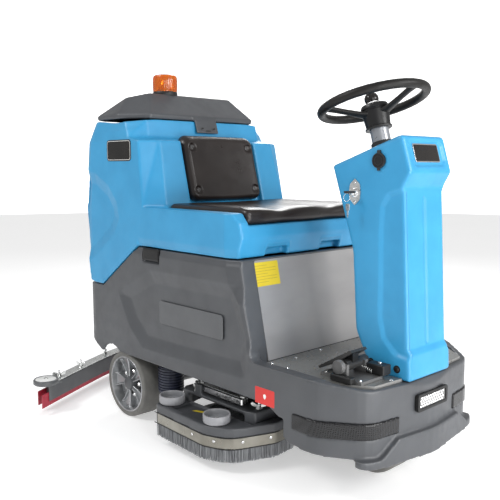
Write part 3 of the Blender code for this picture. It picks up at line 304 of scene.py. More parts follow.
def boxes(name, parts, mat, body, bevel, segments=2, matrix=None):
    """Boxes given by their low and high corners, joined into one piece."""
    bm = bmesh.new()
    for low, high in parts:
        add_box(bm, low, high, matrix)
    return from_bm(name, bm, mat, body, bevel=bevel, segments=segments)


def bridge(bm, rows):
    """Faces between closed rings of points, and marks the rings as placed."""
    for lower, upper in zip(rows, rows[1:]):
        for n in range(len(lower)):
            bm.faces.new((lower[n - 1], lower[n], upper[n], upper[n - 1]))
    for row in rows:
        for v in row:
            v.tag = True


def add_prism(bm, outline, low, high, matrix):
    """An outline in the local XY plane, from low to high along local Z."""
    verts = [bm.verts.new((a, b, low)) for a, b in outline]
    face = bm.faces.new(verts)
    moved = bmesh.ops.extrude_face_region(bm, geom=[face])["geom"]
    tops = [item for item in moved if isinstance(item, bmesh.types.BMVert)]
    bmesh.ops.translate(bm, vec=(0, 0, high - low), verts=tops)
    bmesh.ops.transform(bm, matrix=matrix, verts=verts + tops)
    for v in verts + tops:
        v.tag = True


def rounded_outline(half_a, half_b, radius, steps=5):
    outline = []
    for sa, sb, start in ((1, 1, 0.0), (-1, 1, 90.0), (-1, -1, 180.0), (1, -1, 270.0)):
        for n in range(steps + 1):
            angle = math.radians(start + 90.0 * n / steps)
            outline.append((sa * (half_a - radius) + radius * math.cos(angle),
                sb * (half_b - radius) + radius * math.sin(angle)))
    return outline


def facing(place, right, up):
    """A frame whose local X is right, Y is up, and Z stands out of the surface."""
    right = Vector(right).normalized()
    up = Vector(up).normalized()
    out = right.cross(up)
    turn = Matrix((right, up, out)).transposed().to_4x4()
    return Matrix.Translation(Vector(place)) @ turn


def tube(name, points, radius, mat, body, replaced=(), closed=False, sides=5):
    curve = bpy.data.curves.new(name, "CURVE")
    curve.dimensions = "3D"
    curve.bevel_depth = radius
    curve.bevel_resolution = sides
    spline = curve.splines.new("BEZIER")
    spline.bezier_points.add(len(points) - 1)
    for knot, point in zip(spline.bezier_points, points):
        knot.co = point
        knot.handle_left_type = "AUTO"
        knot.handle_right_type = "AUTO"
    spline.use_cyclic_u = closed
    curve.use_fill_caps = True
    obj = linked(name, curve)
    evaluated = obj.evaluated_get(bpy.context.evaluated_depsgraph_get())
    mesh = bpy.data.meshes.new_from_object(evaluated)
    bpy.data.objects.remove(obj)
    bpy.data.curves.remove(curve)
    mesh.name = name
    return show(name, mesh, mat, body, replaced, 60.0)


# ---------------------------------------------------------------- moulded skins
def signed(outline, a, b):
    """Distance from each point to a closed outline, negative inside."""
    points = np.stack([a, b], 1)
    nearest = np.full(len(points), 1e9)
    inside = np.zeros(len(points), bool)
    for (a0, b0), (a1, b1) in zip(outline, outline[1:] + outline[:1]):
        edge = np.array([a1 - a0, b1 - b0])
        away = points - (a0, b0)
        along = np.clip((away @ edge) / (edge @ edge), 0.0, 1.0)
        nearest = np.minimum(nearest, np.linalg.norm(away - along[:, None] * edge, axis=1))
        crosses = (b0 > b) != (b1 > b)
        at = (a1 - a0) * (b - b0) / (b1 - b0 + 1e-12) + a0
        inside ^= crosses & (a < at)
    return np.where(inside, -nearest, nearest)


def ramp(distance, width):
    """1 well inside, 0 well outside, smooth across the width."""
    t = np.clip(0.5 - distance / width, 0.0, 1.0)
    return t * t * (3.0 - 2.0 * t)


def facet(distance, width, rounding=0.18):
    """1 inside and 0 outside like ramp, but straight between two short rounded ends."""
    t = np.clip(0.5 - distance / width, 0.0, 1.0)
    smooth = t * t * (3.0 - 2.0 * t)
    return (1.0 - rounding) * t + rounding * smooth


def bump_at(value, centre, width):
    return np.exp(-((value - centre) / width) ** 2)


def moulded(name, nodes, mat, body, voxel, smooth, shape=None, nudge=None, grow=0.0):
    """One skin over CAD nodes: remeshed evenly, its edges softened, then shaped point by point."""
    bm = bmesh.new()
    for node in nodes:
        start = len(bm.verts)
        bm.from_mesh(NODES[node].data)
        bm.verts.ensure_lookup_table()
        bmesh.ops.transform(bm, matrix=NODES[node].matrix_world, verts=bm.verts[start:])
        if nudge:
            nudge(node, bm.verts[start:])
    mesh = bpy.data.meshes.new(name + "_rough")
    bm.to_mesh(mesh)
    bm.free()
    rough = linked(name + "_rough", mesh)
    remesh = rough.modifiers.new("even", "REMESH")
    remesh.mode = "VOXEL"
    remesh.voxel_size = voxel
    soften = rough.modifiers.new("soft", "SMOOTH")
    soften.factor = 0.5
    soften.iterations = smooth
    made = bpy.data.meshes.new_from_object(rough.evaluated_get(bpy.context.evaluated_depsgraph_get()))
    bpy.data.objects.remove(rough)
    bpy.data.meshes.remove(mesh)
    made.name = name
    count = len(made.vertices)
    co = np.empty(count * 3)
    made.vertices.foreach_get("co", co)
    co = co.reshape(-1, 3)
    if grow:
        normals = np.empty(count * 3)
        made.vertices.foreach_get("normal", normals)
        co += normals.reshape(-1, 3) * grow
    if shape:
        co = shape(co)
    made.vertices.foreach_set("co", co.ravel())
    made.update()
    return show(name, made, mat, body, nodes, 0.0)


REAR_STYLING = [(0.7, 1.005), (0.5, 0.975), (0.4, 0.925), (0.345, 0.865), (0.33, 0.8), (0.365, 0.745),
    (0.45, 0.68), (0.53, 0.63), (0.7, 0.59)]


def shape_tank(co):
    x, y, z = co[:, 0], co[:, 1], co[:, 2]
    outer = ramp(0.338 - np.abs(x), 0.008)
    arc = facet(signed(REAR_STYLING, y, z) + 0.022, 0.05) * outer
    x -= np.sign(x) * 0.0145 * arc
    # the lower edge of the body draws in towards the seam
    lower = facet(z - 0.722, 0.026) * ramp(y - 0.2, 0.02) * outer
    x -= np.sign(x) * 0.007 * lower
    # the rim dips beside the lid
    dip = bump_at(y, 0.355, 0.1) * ramp(1.15 - z, 0.03) * ramp(0.26 - np.abs(x), 0.05)
    z -= 0.012 * dip
    # raised frames round the two hand recesses
    for centre in (-0.16, 0.115):
        frame_line = np.abs(signed([(centre - 0.075, 0.6), (centre - 0.06, 0.748), (centre + 0.05, 0.748),
            (centre + 0.065, 0.6)], x, z))
        y -= 0.003 * ramp(frame_line - 0.003, 0.008) * ramp(y + 0.335, 0.02)
    return co


SIDE_RECESS = [(0.31, 0.5), (0.12, 0.595), (-0.33, 0.597), (-0.4, 0.45), (-0.38, 0.345), (0.17, 0.335),
    (0.25, 0.4)]
FACET_LOW = 0.614
FACET_NARROW = 0.562


def seat_face(z):
    return -0.423 + (z - 0.383) * 0.069 / 0.317


def shape_base(co):
    x, y, z = co[:, 0], co[:, 1], co[:, 2]
    outer = ramp(0.335 - np.abs(x), 0.01)
    x -= np.sign(x) * 0.015 * facet(signed(SIDE_RECESS, y, z), 0.05) * outer
    # facets on the seat base's front corners: wide at the top, then a narrow strip down to the sill
    share = np.clip((z - FACET_NARROW) / (FACET_LOW - FACET_NARROW), 0.0, 1.0)
    width = 0.015 + 0.036 * share
    deep = 0.009 + 0.011 * share
    fade = np.clip((0.712 - z) / 0.01, 0.0, 1.0) * np.clip((z - 0.405) / 0.03, 0.0, 1.0)
    behind = np.clip(1.0 - (y - seat_face(z)) / width, 0.0, 1.0) * (y > seat_face(z) - 0.012)
    reach = deep * behind * fade
    inner = BODY_HALF - 0.06
    beyond = np.clip((np.abs(x) - inner) / 0.06, 0.0, 1.0)
    x -= np.sign(x) * reach * beyond
    # the top edge draws in under the tank
    edge = facet(0.684 - z, 0.016) * outer
    x -= np.sign(x) * 0.006 * edge
    return co


def close_split(node, verts):
    for v in verts:
        if node == "front_bumper" and v.co.y > -0.587:
            v.co.y = -0.57


def shape_column(co):
    x, y, z = co[:, 0], co[:, 1], co[:, 2]
    side = ramp(0.098 - np.abs(x), 0.006)
    flank = [(-0.9, 0.95), (-0.8, 0.93), (-0.762, 0.918), (-0.74, 0.885), (-0.736, 0.812), (-0.74, 0.54),
        (-0.755, 0.48), (-0.8, 0.436), (-0.9, 0.42)]
    x -= np.sign(x) * 0.008 * facet(signed(flank, y, z), 0.014) * side
    lean = -0.812 - (0.94 - z) * 0.033 / 0.58
    front = ramp(y - lean - 0.012, 0.01)
    groove = signed([(-0.003, 0.905), (0.003, 0.905), (0.003, 0.465), (-0.003, 0.465)], x, z)
    y += 0.0055 * ramp(groove - 0.003, 0.01) * front * (z < 0.95)
    y -= 0.01 * facet(z - 0.448, 0.016) * ramp(y + 0.8, 0.03)
    head = -0.803 - (1.098 - z) * 0.034 / 0.113
    plate = [(-0.088, 1.02), (-0.074, 1.004), (0.074, 1.004), (0.088, 1.02), (0.088, 1.064), (0.074, 1.08),
        (-0.074, 1.08), (-0.088, 1.064)]
    y += 0.006 * facet(signed(plate, x, z), 0.01) * ramp(y - head - 0.009, 0.008) * (z > 0.985)
    return co


def shape_cushion(co):
    x, y, z = co[:, 0], co[:, 1], co[:, 2]
    top = ramp(0.84 - z, 0.03)
    fore = ramp(y + 0.13, 0.3)
    troughs = bump_at(x, -0.125, 0.062) + bump_at(x, 0.125, 0.062)
    z -= top * fore * 0.011 * troughs
    dish = np.exp(-(x / 0.17) ** 2 - ((y + 0.06) / 0.12) ** 2)
    z -= top * 0.008 * dish
    edge = ramp(y + 0.325, 0.03)
    y += edge * (0.007 * troughs + 0.004 * ramp(0.255 - np.abs(x), 0.06))
    z -= top * 0.006 * ramp(y + 0.325, 0.05)
    x -= np.sign(x) * 0.003 * bump_at(z, 0.836, 0.006) * ramp(0.285 - np.abs(x), 0.01)
    return co


BACK_BOLTS = [(side * across, height) for side in (-1, 1) for across,
    height in ((0.146, 1.077), (0.15, 0.913))]
BACK_HALF = 0.183
BACK_LOW = 0.8685
BACK_HIGH = 1.1225
BACK_EDGE = 0.024
BACK_CORNER = 0.036
BACK_MID = (BACK_LOW + BACK_HIGH) / 2
BACK_RISE = (BACK_HIGH - BACK_LOW) / 2


def back_plane(z):
    """Depth of the tank face behind the backrest."""
    return 0.1135 + (z - 0.858) * 0.2704


def rounded_back(steps_across=150, steps_up=104):
    """The moulded backrest: a dished front with a rolled edge, four bolt wells, and a flat back."""
    outline = [(a, b + BACK_MID) for a, b in rounded_outline(BACK_HALF, BACK_RISE, BACK_CORNER, 9)]
    straight_x = BACK_HALF - BACK_CORNER
    straight_z = BACK_RISE - BACK_CORNER
    a, b = np.meshgrid(np.linspace(-1, 1, steps_across), np.linspace(-1, 1, steps_up), indexing="ij")
    x = (a * BACK_HALF).ravel()
    z = ((b * (BACK_HIGH - BACK_LOW) + BACK_HIGH + BACK_LOW) / 2).ravel()
    # draws the corners of the even grid in onto the rounded outline
    for _ in range(3):
        outside = signed(outline, x, z) > -0.0002
        pull_x = straight_x * np.sign(x)
        pull_z = BACK_MID + straight_z * np.sign(b.ravel())
        corner = (np.abs(x) > straight_x) & (np.abs(z - BACK_MID) > straight_z) & outside
        reach = np.hypot(x - pull_x, z - pull_z)
        share = np.where(corner, 0.0358 / np.maximum(reach, 1e-6), 1.0)
        x = np.where(corner, pull_x + (x - pull_x) * share, x)
        z = np.where(corner, pull_z + (z - pull_z) * share, z)
    away = np.clip(-signed(outline, x, z), 0.0, 1.0)
    roll = np.clip(1.0 - away / BACK_EDGE, 0.0, 1.0)
    thick = 0.0375 - 0.03 * (1.0 - np.sqrt(np.clip(1.0 - roll ** 2, 0.0, 1.0)))
    thick += 0.01 * np.clip(np.abs(x) / BACK_HALF, 0.0, 1.0) ** 3 * (1.0 - roll)
    thick -= 0.006 * np.exp(-(x / 0.12) ** 2 - ((z - 0.985) / 0.1) ** 2)
    for bx, bz in BACK_BOLTS:
        thick -= 0.009 * np.exp(-(((x - bx) / 0.016) ** 2 + ((z - bz) / 0.016) ** 2) ** 3)
    bm = bmesh.new()
    front = [bm.verts.new((px, back_plane(pz) - 0.001 - t, pz)) for px, pz, t in zip(x, z, thick)]
    rear = [bm.verts.new((px, back_plane(pz) - 0.001, pz)) for px, pz in zip(x, z)]

    def at(grid, m, n):
        return grid[m * steps_up + n]

    for m in range(steps_across - 1):
        for n in range(steps_up - 1):
            bm.faces.new((at(front, m, n), at(front, m + 1, n), at(front, m + 1, n + 1),
                at(front, m, n + 1)))
            bm.faces.new((at(rear, m, n), at(rear, m, n + 1), at(rear, m + 1, n + 1), at(rear, m + 1, n)))
    border = [(m, 0) for m in range(steps_across - 1)]
    border += [(steps_across - 1, n) for n in range(steps_up - 1)]
    border += [(m, steps_up - 1) for m in range(steps_across - 1, 0, -1)]
    border += [(0, n) for n in range(steps_up - 1, 0, -1)]
    for here, there in zip(border, border[1:] + border[:1]):
        bm.faces.new((at(front, *there), at(front, *here), at(rear, *here), at(rear, *there)))
    return from_bm("backrest_pad", bm, SEAT, "tank", ("backrest",), 70.0)


moulded("tank_skin", ["recovery_tank"], BLUE, "tank", 0.0048, 5, shape_tank)
moulded("base_skin", ["base_shell", "front_bumper"], GREY, "body", 0.0045, 3, shape_base, close_split)
moulded("column_skin", ["steering_column"], BLUE, "body", 0.0038, 5, shape_column)
moulded("lid_skin", ["tank_lid"], GREY, "lid", 0.0042, 4)
moulded("deck_skin", ["deck_housing"], GREY, "brush_deck", 0.0042, 2)
for label, side in SIDES:
    moulded(f"skirt_cover_skin_{label}", [f"skirt_cover_{label}"], GREY, "brush_deck", 0.0032, 3)
cushion = moulded("cushion_pad", ["seat_cushion"], SEAT, "tank", 0.005, 9, shape_cushion)
rounded_back()
moulded("latch_body", ["tank_latch"], BLACK, "latch", 0.0022, 2)


# ---------------------------------------------------------------- fasteners and plates
def bolt(name, place, way, mat, body, head=0.007, tall=0.004, washer=0.0):
    bm = bmesh.new()
    profile = [(0.0, tall), (head * 0.35, tall), (head * 0.42, tall - 0.0015), (head * 0.5, tall - 0.0015),
        (head * 0.55, tall), (head * 0.85, tall * 0.85), (head, tall * 0.4), (head, 0.0)]
    if washer:
        profile += [(washer, 0.0), (washer, -0.001)]
    add_turned(bm, profile, place, way, 24)
    return from_bm(name, bm, mat, body)


def plate(name, matrix, half_a, half_b, radius, thick, mat, body, bevel=0.0006):
    bm = bmesh.new()
    add_prism(bm, rounded_outline(half_a, half_b, radius), 0.0, thick, matrix)
    return from_bm(name, bm, mat, body, bevel=bevel)


for n, (bx, bz) in enumerate(BACK_BOLTS):
    bolt(f"backrest_bolt_{n}", (bx, back_plane(bz) - 0.03, bz), (0, -0.965, 0.261), STEEL, "tank", 0.0105,
        0.0045)

for label, side in SIDES:
    spot = facing((side * BODY_HALF, 0.317, 1.064), (0, side, 0), (0, 0, 1))
    for layer, half_a, half_b, radius, thick, mat, bevel in (("", 0.084, 0.0405, 0.014, 0.0016, GLOSS,
            0.0006), ("line_", 0.08, 0.0365, 0.011, 0.0019, WHITE_FILM, 0.0),
            ("face_", 0.0785, 0.035, 0.01, 0.0022, GLOSS, 0.0006)):
        plate(f"side_badge_{layer}{label}", spot, half_a, half_b, radius, thick, mat, "tank", bevel)
    for n, (y, z) in enumerate(((-0.712, 0.398), (-0.808, 0.394))):
        bolt(f"column_bolt_{label}_{n}", (side * (COLUMN_HALF + 0.0005), y, z), (side, 0, 0), BLACK, "body",
            0.0085, 0.004, 0.012)

head_up = Vector((0.0, 0.034, 0.113)).normalized()
head_plate = facing((0.0, -0.8145, 1.042), (1, 0, 0), head_up)
plate("column_badge", head_plate, 0.066, 0.029, 0.006, 0.0018, CHROME, "body")
plate("column_badge_face", head_plate, 0.0625, 0.0255, 0.004, 0.0025, GLOSS, "body")

panel_up = Vector((0.0, 0.069, 0.317)).normalized()
label_at = facing((-0.229, seat_face(0.648) + 0.0037, 0.648), (1, 0, 0), panel_up)
plate("yellow_label", label_at, 0.06, 0.04, 0.003, 0.0004, YELLOW, "body", 0.0)
RULE_START = -0.052
RULE = 0.0012
bm = bmesh.new()
for row in range(7):
    width = 0.05 if row % 3 else 0.03
    level = 0.028 - row * 0.0092
    add_prism(bm, [(RULE_START, level), (RULE_START + 2 * width, level),
        (RULE_START + 2 * width, level + RULE), (RULE_START, level + RULE)], 0.0004, 0.0006, label_at)
from_bm("yellow_label_rules", bm, INK, "body")

red_at = facing((-BODY_HALF + 0.0005, -0.49, 0.286), (0, -1, 0), (0, 0, 1))
plate("red_label", red_at, 0.043, 0.0265, 0.003, 0.0007, RED_FILM, "body", 0.0)
bm = bmesh.new()
drop = [(0.006 * math.sin(a) * (1 - 0.35 * math.cos(a)), -0.008 * math.cos(a))
    for a in (math.tau * n / 24 for n in range(24))]
add_prism(bm, drop, 0.0006, 0.001, red_at)
from_bm("red_label_drop", bm, WHITE_FILM, "body")

for n, (x, y) in enumerate(((-0.285, -0.45), (-0.285, -0.52), (-0.18, -0.455), (-0.045, -0.445),
        (0.285, -0.45), (-0.15, -0.815), (0.285, -0.6), (0.045, -0.66), (-0.055, -0.66))):
    bolt(f"floor_screw_{n}", (x, y, FLOOR_TOP), (0, 0, 1), CHROME, "body", 0.006, 0.0025)

# ---------------------------------------------------------------- CAD parts kept, with finishes
KEPT = {"footwell_panel": (PANEL, 0.0015), "floor_plate": (TREAD, 0.0012), "dash_panel": (BLACK, 0.002),
    "key_switch": (ZINC, 0.0008), "chassis_frame": (STEEL, 0.002), "battery_pack": (BLACK, 0.004),
    "vacuum_motor": (BLACK, 0.002), "rear_axle": (STEEL, 0.001), "pedal_base": (STEEL, 0.0015),
    "steering_fork": (STEEL, 0.0015), "drive_motor": (STEEL, 0.003), "front_hub": (ALLOY, 0.001),
    "deck_lift_arm": (CHROME, 0.002), "squeegee_arm": (STEEL, 0.003), "squeegee_body": (GREY, 0.002),
    "squeegee_blade_front": (RED_RUBBER, 0.0005), "squeegee_blade_rear": (RED_RUBBER, 0.0005),
    "headlight": (BLACK, 0.002), "headlight_lens": (CLEAR, 0.0008), "ignition_key": (BLACK, 0.001),
    "socket_cap": (BLACK, 0.001), "emergency_button": (RED_CAP, 0.0008),
    "accelerator_pedal": (BLACK, 0.001), "steering_shaft": (TUBE, 0.0)}
for label, side in SIDES:
    KEPT[f"clamp_band_{label}"] = (BRUSHED, 0.0)
    KEPT[f"brush_motor_{label}"] = (STEEL, 0.002)
    KEPT[f"disc_brush_{label}"] = (BRISTLE, 0.0)
for node, (mat, width) in KEPT.items():
    obj = NODES[node]
    for slot in obj.material_slots:
        slot.material = mat
    if width:
        rounded_edges(obj, width, 2, 30.0)


# ---------------------------------------------------------------- wheels and rollers
def tyre(name, node, radius, inner, half, place, way, body):
    profile = [(inner, -half + 0.002), (radius - 0.012, -half), (radius - 0.005, -half + 0.001),
        (radius - 0.0015, -half + 0.004), (radius, -half + 0.01), (radius, half - 0.01),
        (radius - 0.0015, half - 0.004), (radius - 0.005, half - 0.001), (radius - 0.012, half),
        (inner, half - 0.002), (inner, -half + 0.002)]
    return turned(name, profile, place, way, TYRE, body, (node,), 128, 50.0)


def wedge(bm, matrix):
    """One cast spoke: a broad web that widens to the rim, with a raised ridge down each edge."""
    stations = ((0.022, 0.0085, 0.0335), (0.045, 0.0135, 0.03), (0.075, 0.0215, 0.0305),
        (0.1055, 0.031, 0.038))
    rows = []
    for r, half, high in stations:
        edge = 0.0045
        section = [(-half, 0.002), (-half, high - 0.002), (-half + 0.0015, high), (-half + edge, high),
            (-half + edge + 0.003, high - 0.01), (half - edge - 0.003, high - 0.01), (half - edge, high),
            (half - 0.0015, high), (half, high - 0.002), (half, 0.002)]
        rows.append([bm.verts.new(matrix @ Vector((r, a, h))) for a, h in section])
    bridge(bm, rows)
    bm.faces.new(rows[0])
    bm.faces.new(rows[-1])


SPOKES = 5
FIRST_SPOKE = 0.35
NUT_CIRCLE = 0.05


def alloy_rim(label, side):
    """A cast rim: a deep ring, five broad spokes round a boss, and a nut in each bay between them."""
    place = Vector((side * (WHEEL_BOX[1].x * -1 + 0.05), WHEEL_Y, WHEEL_R))
    way = Vector((side, 0, 0))
    body = f"wheel_{label}"
    bm = bmesh.new()
    add_turned(bm, [(0.1125, -0.046), (0.1125, 0.048), (0.11, 0.0492), (0.1065, 0.048), (0.103, 0.033),
        (0.099, 0.008), (0.03, 0.003), (0.021, 0.003), (0.021, -0.036), (0.096, -0.046), (0.1125, -0.046)],
        place, way, 96)
    local = frame_at(place, way)
    for n in range(SPOKES):
        wedge(bm, local @ Matrix.Rotation(math.tau * n / SPOKES + FIRST_SPOKE, 4, "Z"))
    from_bm(f"rim_casting_{label}", bm, ALLOY, body, (f"rear_rim_{label}",), bevel=0.0012)
    turned(f"rim_boss_{label}", [(0.0, 0.0425), (0.02, 0.0425), (0.0245, 0.04), (0.027, 0.034),
        (0.028, 0.004), (0.0, 0.004)], place, way, GREY, body, steps=48)
    nuts = bmesh.new()
    # a thin black disc round each nut is painted shade standing in for the dark hole the nut sits in
    hole_shade = bmesh.new()
    for n in range(SPOKES):
        angle = math.tau * (n + 0.5) / SPOKES + FIRST_SPOKE
        at = local @ Vector((NUT_CIRCLE * math.cos(angle), NUT_CIRCLE * math.sin(angle), 0.0065))
        add_turned(nuts, [(0.0, 0.0175), (0.005, 0.0175), (0.0088, 0.014), (0.0092, 0.0), (0.0, 0.0)], at,
            way, 6)
        add_turned(hole_shade, [(0.0, 0.0012), (0.0125, 0.0012), (0.013, 0.0), (0.0, 0.0)], at, way, 24)
    from_bm(f"rim_nuts_{label}", nuts, ZINC, body, smooth=30.0)
    # the black discs under the nuts: painted shade of the nut holes, not a separate seat part
    from_bm(f"rim_hole_shade_{label}", hole_shade, BLACK, body)
    tyre(f"tyre_skin_{label}", f"rear_tyre_{label}", WHEEL_R, 0.1127, 0.05, place, way, body)


for label, side in SIDES:
    alloy_rim(label, side)
tyre("drive_tyre_skin", "front_tyre", DRIVE_R, 0.0945, 0.049, (0, DRIVE_Y, DRIVE_R), (1, 0, 0),
    "drive_wheel")


def cup_roller(label, end):
    node = f"guide_roller_{label}_{end}"
    place, radius, tall = upright(node)
    body = f"roller_{label}_{end}"
    turned(f"cup_{label}_{end}", [(0.0, 0.0), (radius - 0.006, 0.0), (radius - 0.001, 0.003),
        (radius, 0.007), (radius, tall - 0.002), (radius - 0.0012, tall), (radius - 0.0048, tall),
        (radius - 0.006, tall - 0.002), (radius - 0.0075, 0.01), (0.012, 0.0085), (0.0105, 0.0115),
        (0.0, 0.0118)], place, UP, ROLLER, body, (node,), 80, 50.0)
    bolt(f"cup_bolt_{label}_{end}", place + UP * 0.0118, UP, ZINC, body, 0.0065, 0.005)


for label, side in SIDES:
    for end in ("rear", "front"):
        cup_roller(label, end)
    node = f"squeegee_roller_{label}"
    place, radius, tall = upright(node)
    body = f"squeegee_wheel_{label}"
    turned(f"edge_roller_{label}", [(0.0, 0.0), (radius - 0.004, 0.0), (radius, 0.004), (radius, 0.017),
        (radius - 0.0035, 0.021), (radius - 0.0065, 0.021), (radius - 0.008, 0.0195), (0.0, 0.0195)], place,
        UP, GREY, body, (node,), 72, 50.0)
    turned(f"edge_roller_face_{label}", [(0.0, 0.0215), (0.012, 0.0215), (0.014, 0.0202),
        (radius - 0.01, 0.0202), (radius - 0.0085, 0.0195), (0.0, 0.0195)], place, UP, WHITE_FILM, body,
        steps=72)
    bolt(f"edge_roller_bolt_{label}", place + UP * 0.0203, UP, ZINC, body, 0.008, 0.006, 0.011)


# ---------------------------------------------------------------- brush deck
BAND_SCREWS = 5


def rounded_path(corners, steps=8):
    points = []
    for n, (a, b, radius) in enumerate(corners):
        here = Vector((a, b))
        if radius <= 0.0 or n in (0, len(corners) - 1):
            points.append(here)
            continue
        before = Vector(corners[n - 1][:2]) - here
        after = Vector(corners[n + 1][:2]) - here
        reach = min(radius / math.tan(before.angle(after) / 2), 0.49 * before.length, 0.49 * after.length)
        start = here + before.normalized() * reach
        end = here + after.normalized() * reach
        for k in range(steps + 1):
            t = k / steps
            points.append(start.lerp(here, t).lerp(here.lerp(end, t), t))
    return points


def skirt_path(inset, side, start=0.105):
    reach = 0.437 - inset
    front = -0.432 + inset
    rear = 0.005 - inset
    path = rounded_path([(start, front + 0.015, 0.0), (0.25, front, 0.06),
        (reach - 0.03, front + 0.058, 0.1), (reach + 0.004, front + 0.15, 0.08),
        (reach - 0.006, rear, 0.0)])
    return [Vector((side * p.x, p.y)) for p in path]


def walk(path, step):
    """Points every step along a path, each with its outward direction."""
    out = []
    carried = 0.0
    for a, b in zip(path, path[1:]):
        length = (b - a).length
        way = (b - a) / max(length, 1e-9)
        at = carried
        while at < length:
            out.append((a + way * at, Vector((way.y, -way.x))))
            at += step
        carried = at - length
    return out


def bristles(name, side, low, high, mat, body, keep, replaced=(), seed=1):
    dice = random.Random(seed)
    bm = bmesh.new()
    for row in range(4):
        for at, out in walk(skirt_path(0.006 + row * 0.003, side), 0.0036):
            if not keep(at):
                continue
            wide = 0.0011 + 0.0004 * dice.random()
            splay = out * (side * (0.0022 - 0.0012 * row) + dice.uniform(-0.001, 0.001))
            drift = Vector((dice.uniform(-0.0016, 0.0016), dice.uniform(-0.0016, 0.0016)))
            foot = at + splay + drift
            ring_high = []
            ring_low = []
            turn = dice.uniform(0, math.tau)
            short = dice.uniform(0.0, 0.0025)
            for k in range(3):
                angle = turn + math.tau * k / 3
                swing = Vector((math.cos(angle), math.sin(angle)))
                ring_high.append(bm.verts.new((*(at + swing * wide * 1.25), high)))
                ring_low.append(bm.verts.new((*(foot + swing * wide), low + short)))
            for k in range(3):
                bm.faces.new((ring_high[k], ring_high[(k + 1) % 3], ring_low[(k + 1) % 3], ring_low[k]))
            bm.faces.new(ring_low)
            bm.faces.new(ring_high[::-1])
    mesh = bpy.data.meshes.new(name)
    bm.to_mesh(mesh)
    bm.free()
    return show(name, mesh, mat, body, replaced, 20.0)


def strip(name, side, inset, thick, low, high, mat, body, start=0.105):
    """A thin strip standing on edge round the deck."""
    outer = skirt_path(inset, side, start)
    inner = skirt_path(inset + thick, side, start)
    bm = bmesh.new()
    outline = [tuple(p) for p in outer] + [tuple(p) for p in reversed(inner)]
    if side < 0:
        outline = outline[::-1]
    add_prism(bm, outline, low, high, Matrix.Identity(4))
    return from_bm(name, bm, mat, body, bevel=0.0004, smooth=40.0)


for label, side in SIDES:
    bristles(f"bristles_{label}", side, BRISTLE_LOW, 0.0875, BRISTLE, "brush_deck",
        lambda p: abs(p.x) >= BAND_END, (f"bristle_skirt_{label}",), 3 + side)
    bristles(f"bristles_front_{label}", side, BRISTLE_LOW + 0.004, 0.112, PALE_BRISTLE, "brush_deck",
        lambda p: abs(p.x) < BAND_END, (), 13 + side)
    strip(f"bristle_holder_{label}", side, 0.005, 0.0125, 0.085, BAND[1].z - 0.001, BLACK, "brush_deck")
    strip(f"band_edge_low_{label}", side, -0.0012, 0.0016, BAND[0].z - 0.0022, BAND[0].z + 0.0012, BLACK,
        "brush_deck", BAND_END)
    strip(f"band_edge_high_{label}", side, -0.0012, 0.0016, BAND[1].z - 0.0018, BAND[1].z + 0.001, BLACK,
        "brush_deck", BAND_END)
    spots = walk(skirt_path(-0.0005, side, BAND_END), 0.01)
    for n in range(BAND_SCREWS):
        at, out = spots[min(2 + n * 10, 46)]
        way = Vector((out.x * side, out.y * side, 0))
        bolt(f"band_screw_{label}_{n}", (*at, (BAND[0].z + BAND[1].z) / 2 + 0.004), way, CHROME,
            "brush_deck", 0.005, 0.0022)


def wing_nut(name, place, turn, body, mat=ZINC):
    bm = bmesh.new()
    spin = Matrix.Translation(Vector(place)) @ Matrix.Rotation(turn, 4, "Z")
    add_turned(bm, [(0.0, 0.016), (0.007, 0.016), (0.009, 0.006), (0.012, 0.0), (0.0, 0.0)], place, UP, 20)
    for way in (-1, 1):
        wing = [(way * 0.006, 0.004), (way * 0.024, 0.01), (way * 0.028, 0.02), (way * 0.02, 0.023),
            (way * 0.006, 0.014)]
        stand = spin @ Matrix.Rotation(math.radians(90), 4, "X")
        add_prism(bm, wing if way > 0 else wing[::-1], -0.0025, 0.0025, stand)
    from_bm(name, bm, mat, body, bevel=0.0008)
    turned(name + "_stud", [(0.0, 0.03), (0.0035, 0.03), (0.004, 0.028), (0.004, 0.0), (0.0, 0.0)], place,
        UP, CHROME, body, steps=16)


DECK_TOP = 0.19
for label, side in SIDES:
    for n, (x, y) in enumerate(((0.248, -0.008), (0.296, -0.06), (0.262, -0.35))):
        wing_nut(f"deck_wing_nut_{label}_{n}", (side * x, y - 0.012, DECK_TOP), 0.5 + 0.9 * n, "brush_deck")
    plate(f"deck_sticker_{label}", facing((side * 0.352, -0.152, 0.1466), (-0.35, -side, 0),
        (-side, 0.35 * side, 0)), 0.02, 0.008, 0.002, 0.0006, YELLOW, "brush_deck", 0.0)

low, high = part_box("deck_lift_arm")
boxes("lift_arm_rib", [((low.x + 0.004, low.y + 0.02, high.z - 0.0008),
    (high.x - 0.004, high.y - 0.02, high.z + 0.0012))], ZINC, "lift_arm", 0.0006)
for n, y in enumerate((low.y + 0.012, high.y - 0.014)):
    bolt(f"lift_arm_bolt_{n}", ((low.x + high.x) / 2, y, high.z), UP, ZINC, "lift_arm", 0.009, 0.006, 0.012)

# ribbed canister beside the deck
place, radius, tall = upright("solution_filter")
profile = [(0.0, 0.0), (0.04, 0.0), (0.047, 0.004)]
for n in range(9):
    z = 0.01 + n * 0.0105
    profile += [(0.0495, z), (0.0495, z + 0.0055), (0.0455, z + 0.0065), (0.0455, z + 0.01)]
profile += [(0.048, 0.108), (0.034, 0.114), (0.03, 0.118), (0.03, tall), (0.0, tall)]
turned("filter_ribs", profile, place, UP, NAVY, "body", ("solution_filter",), 64, 25.0)


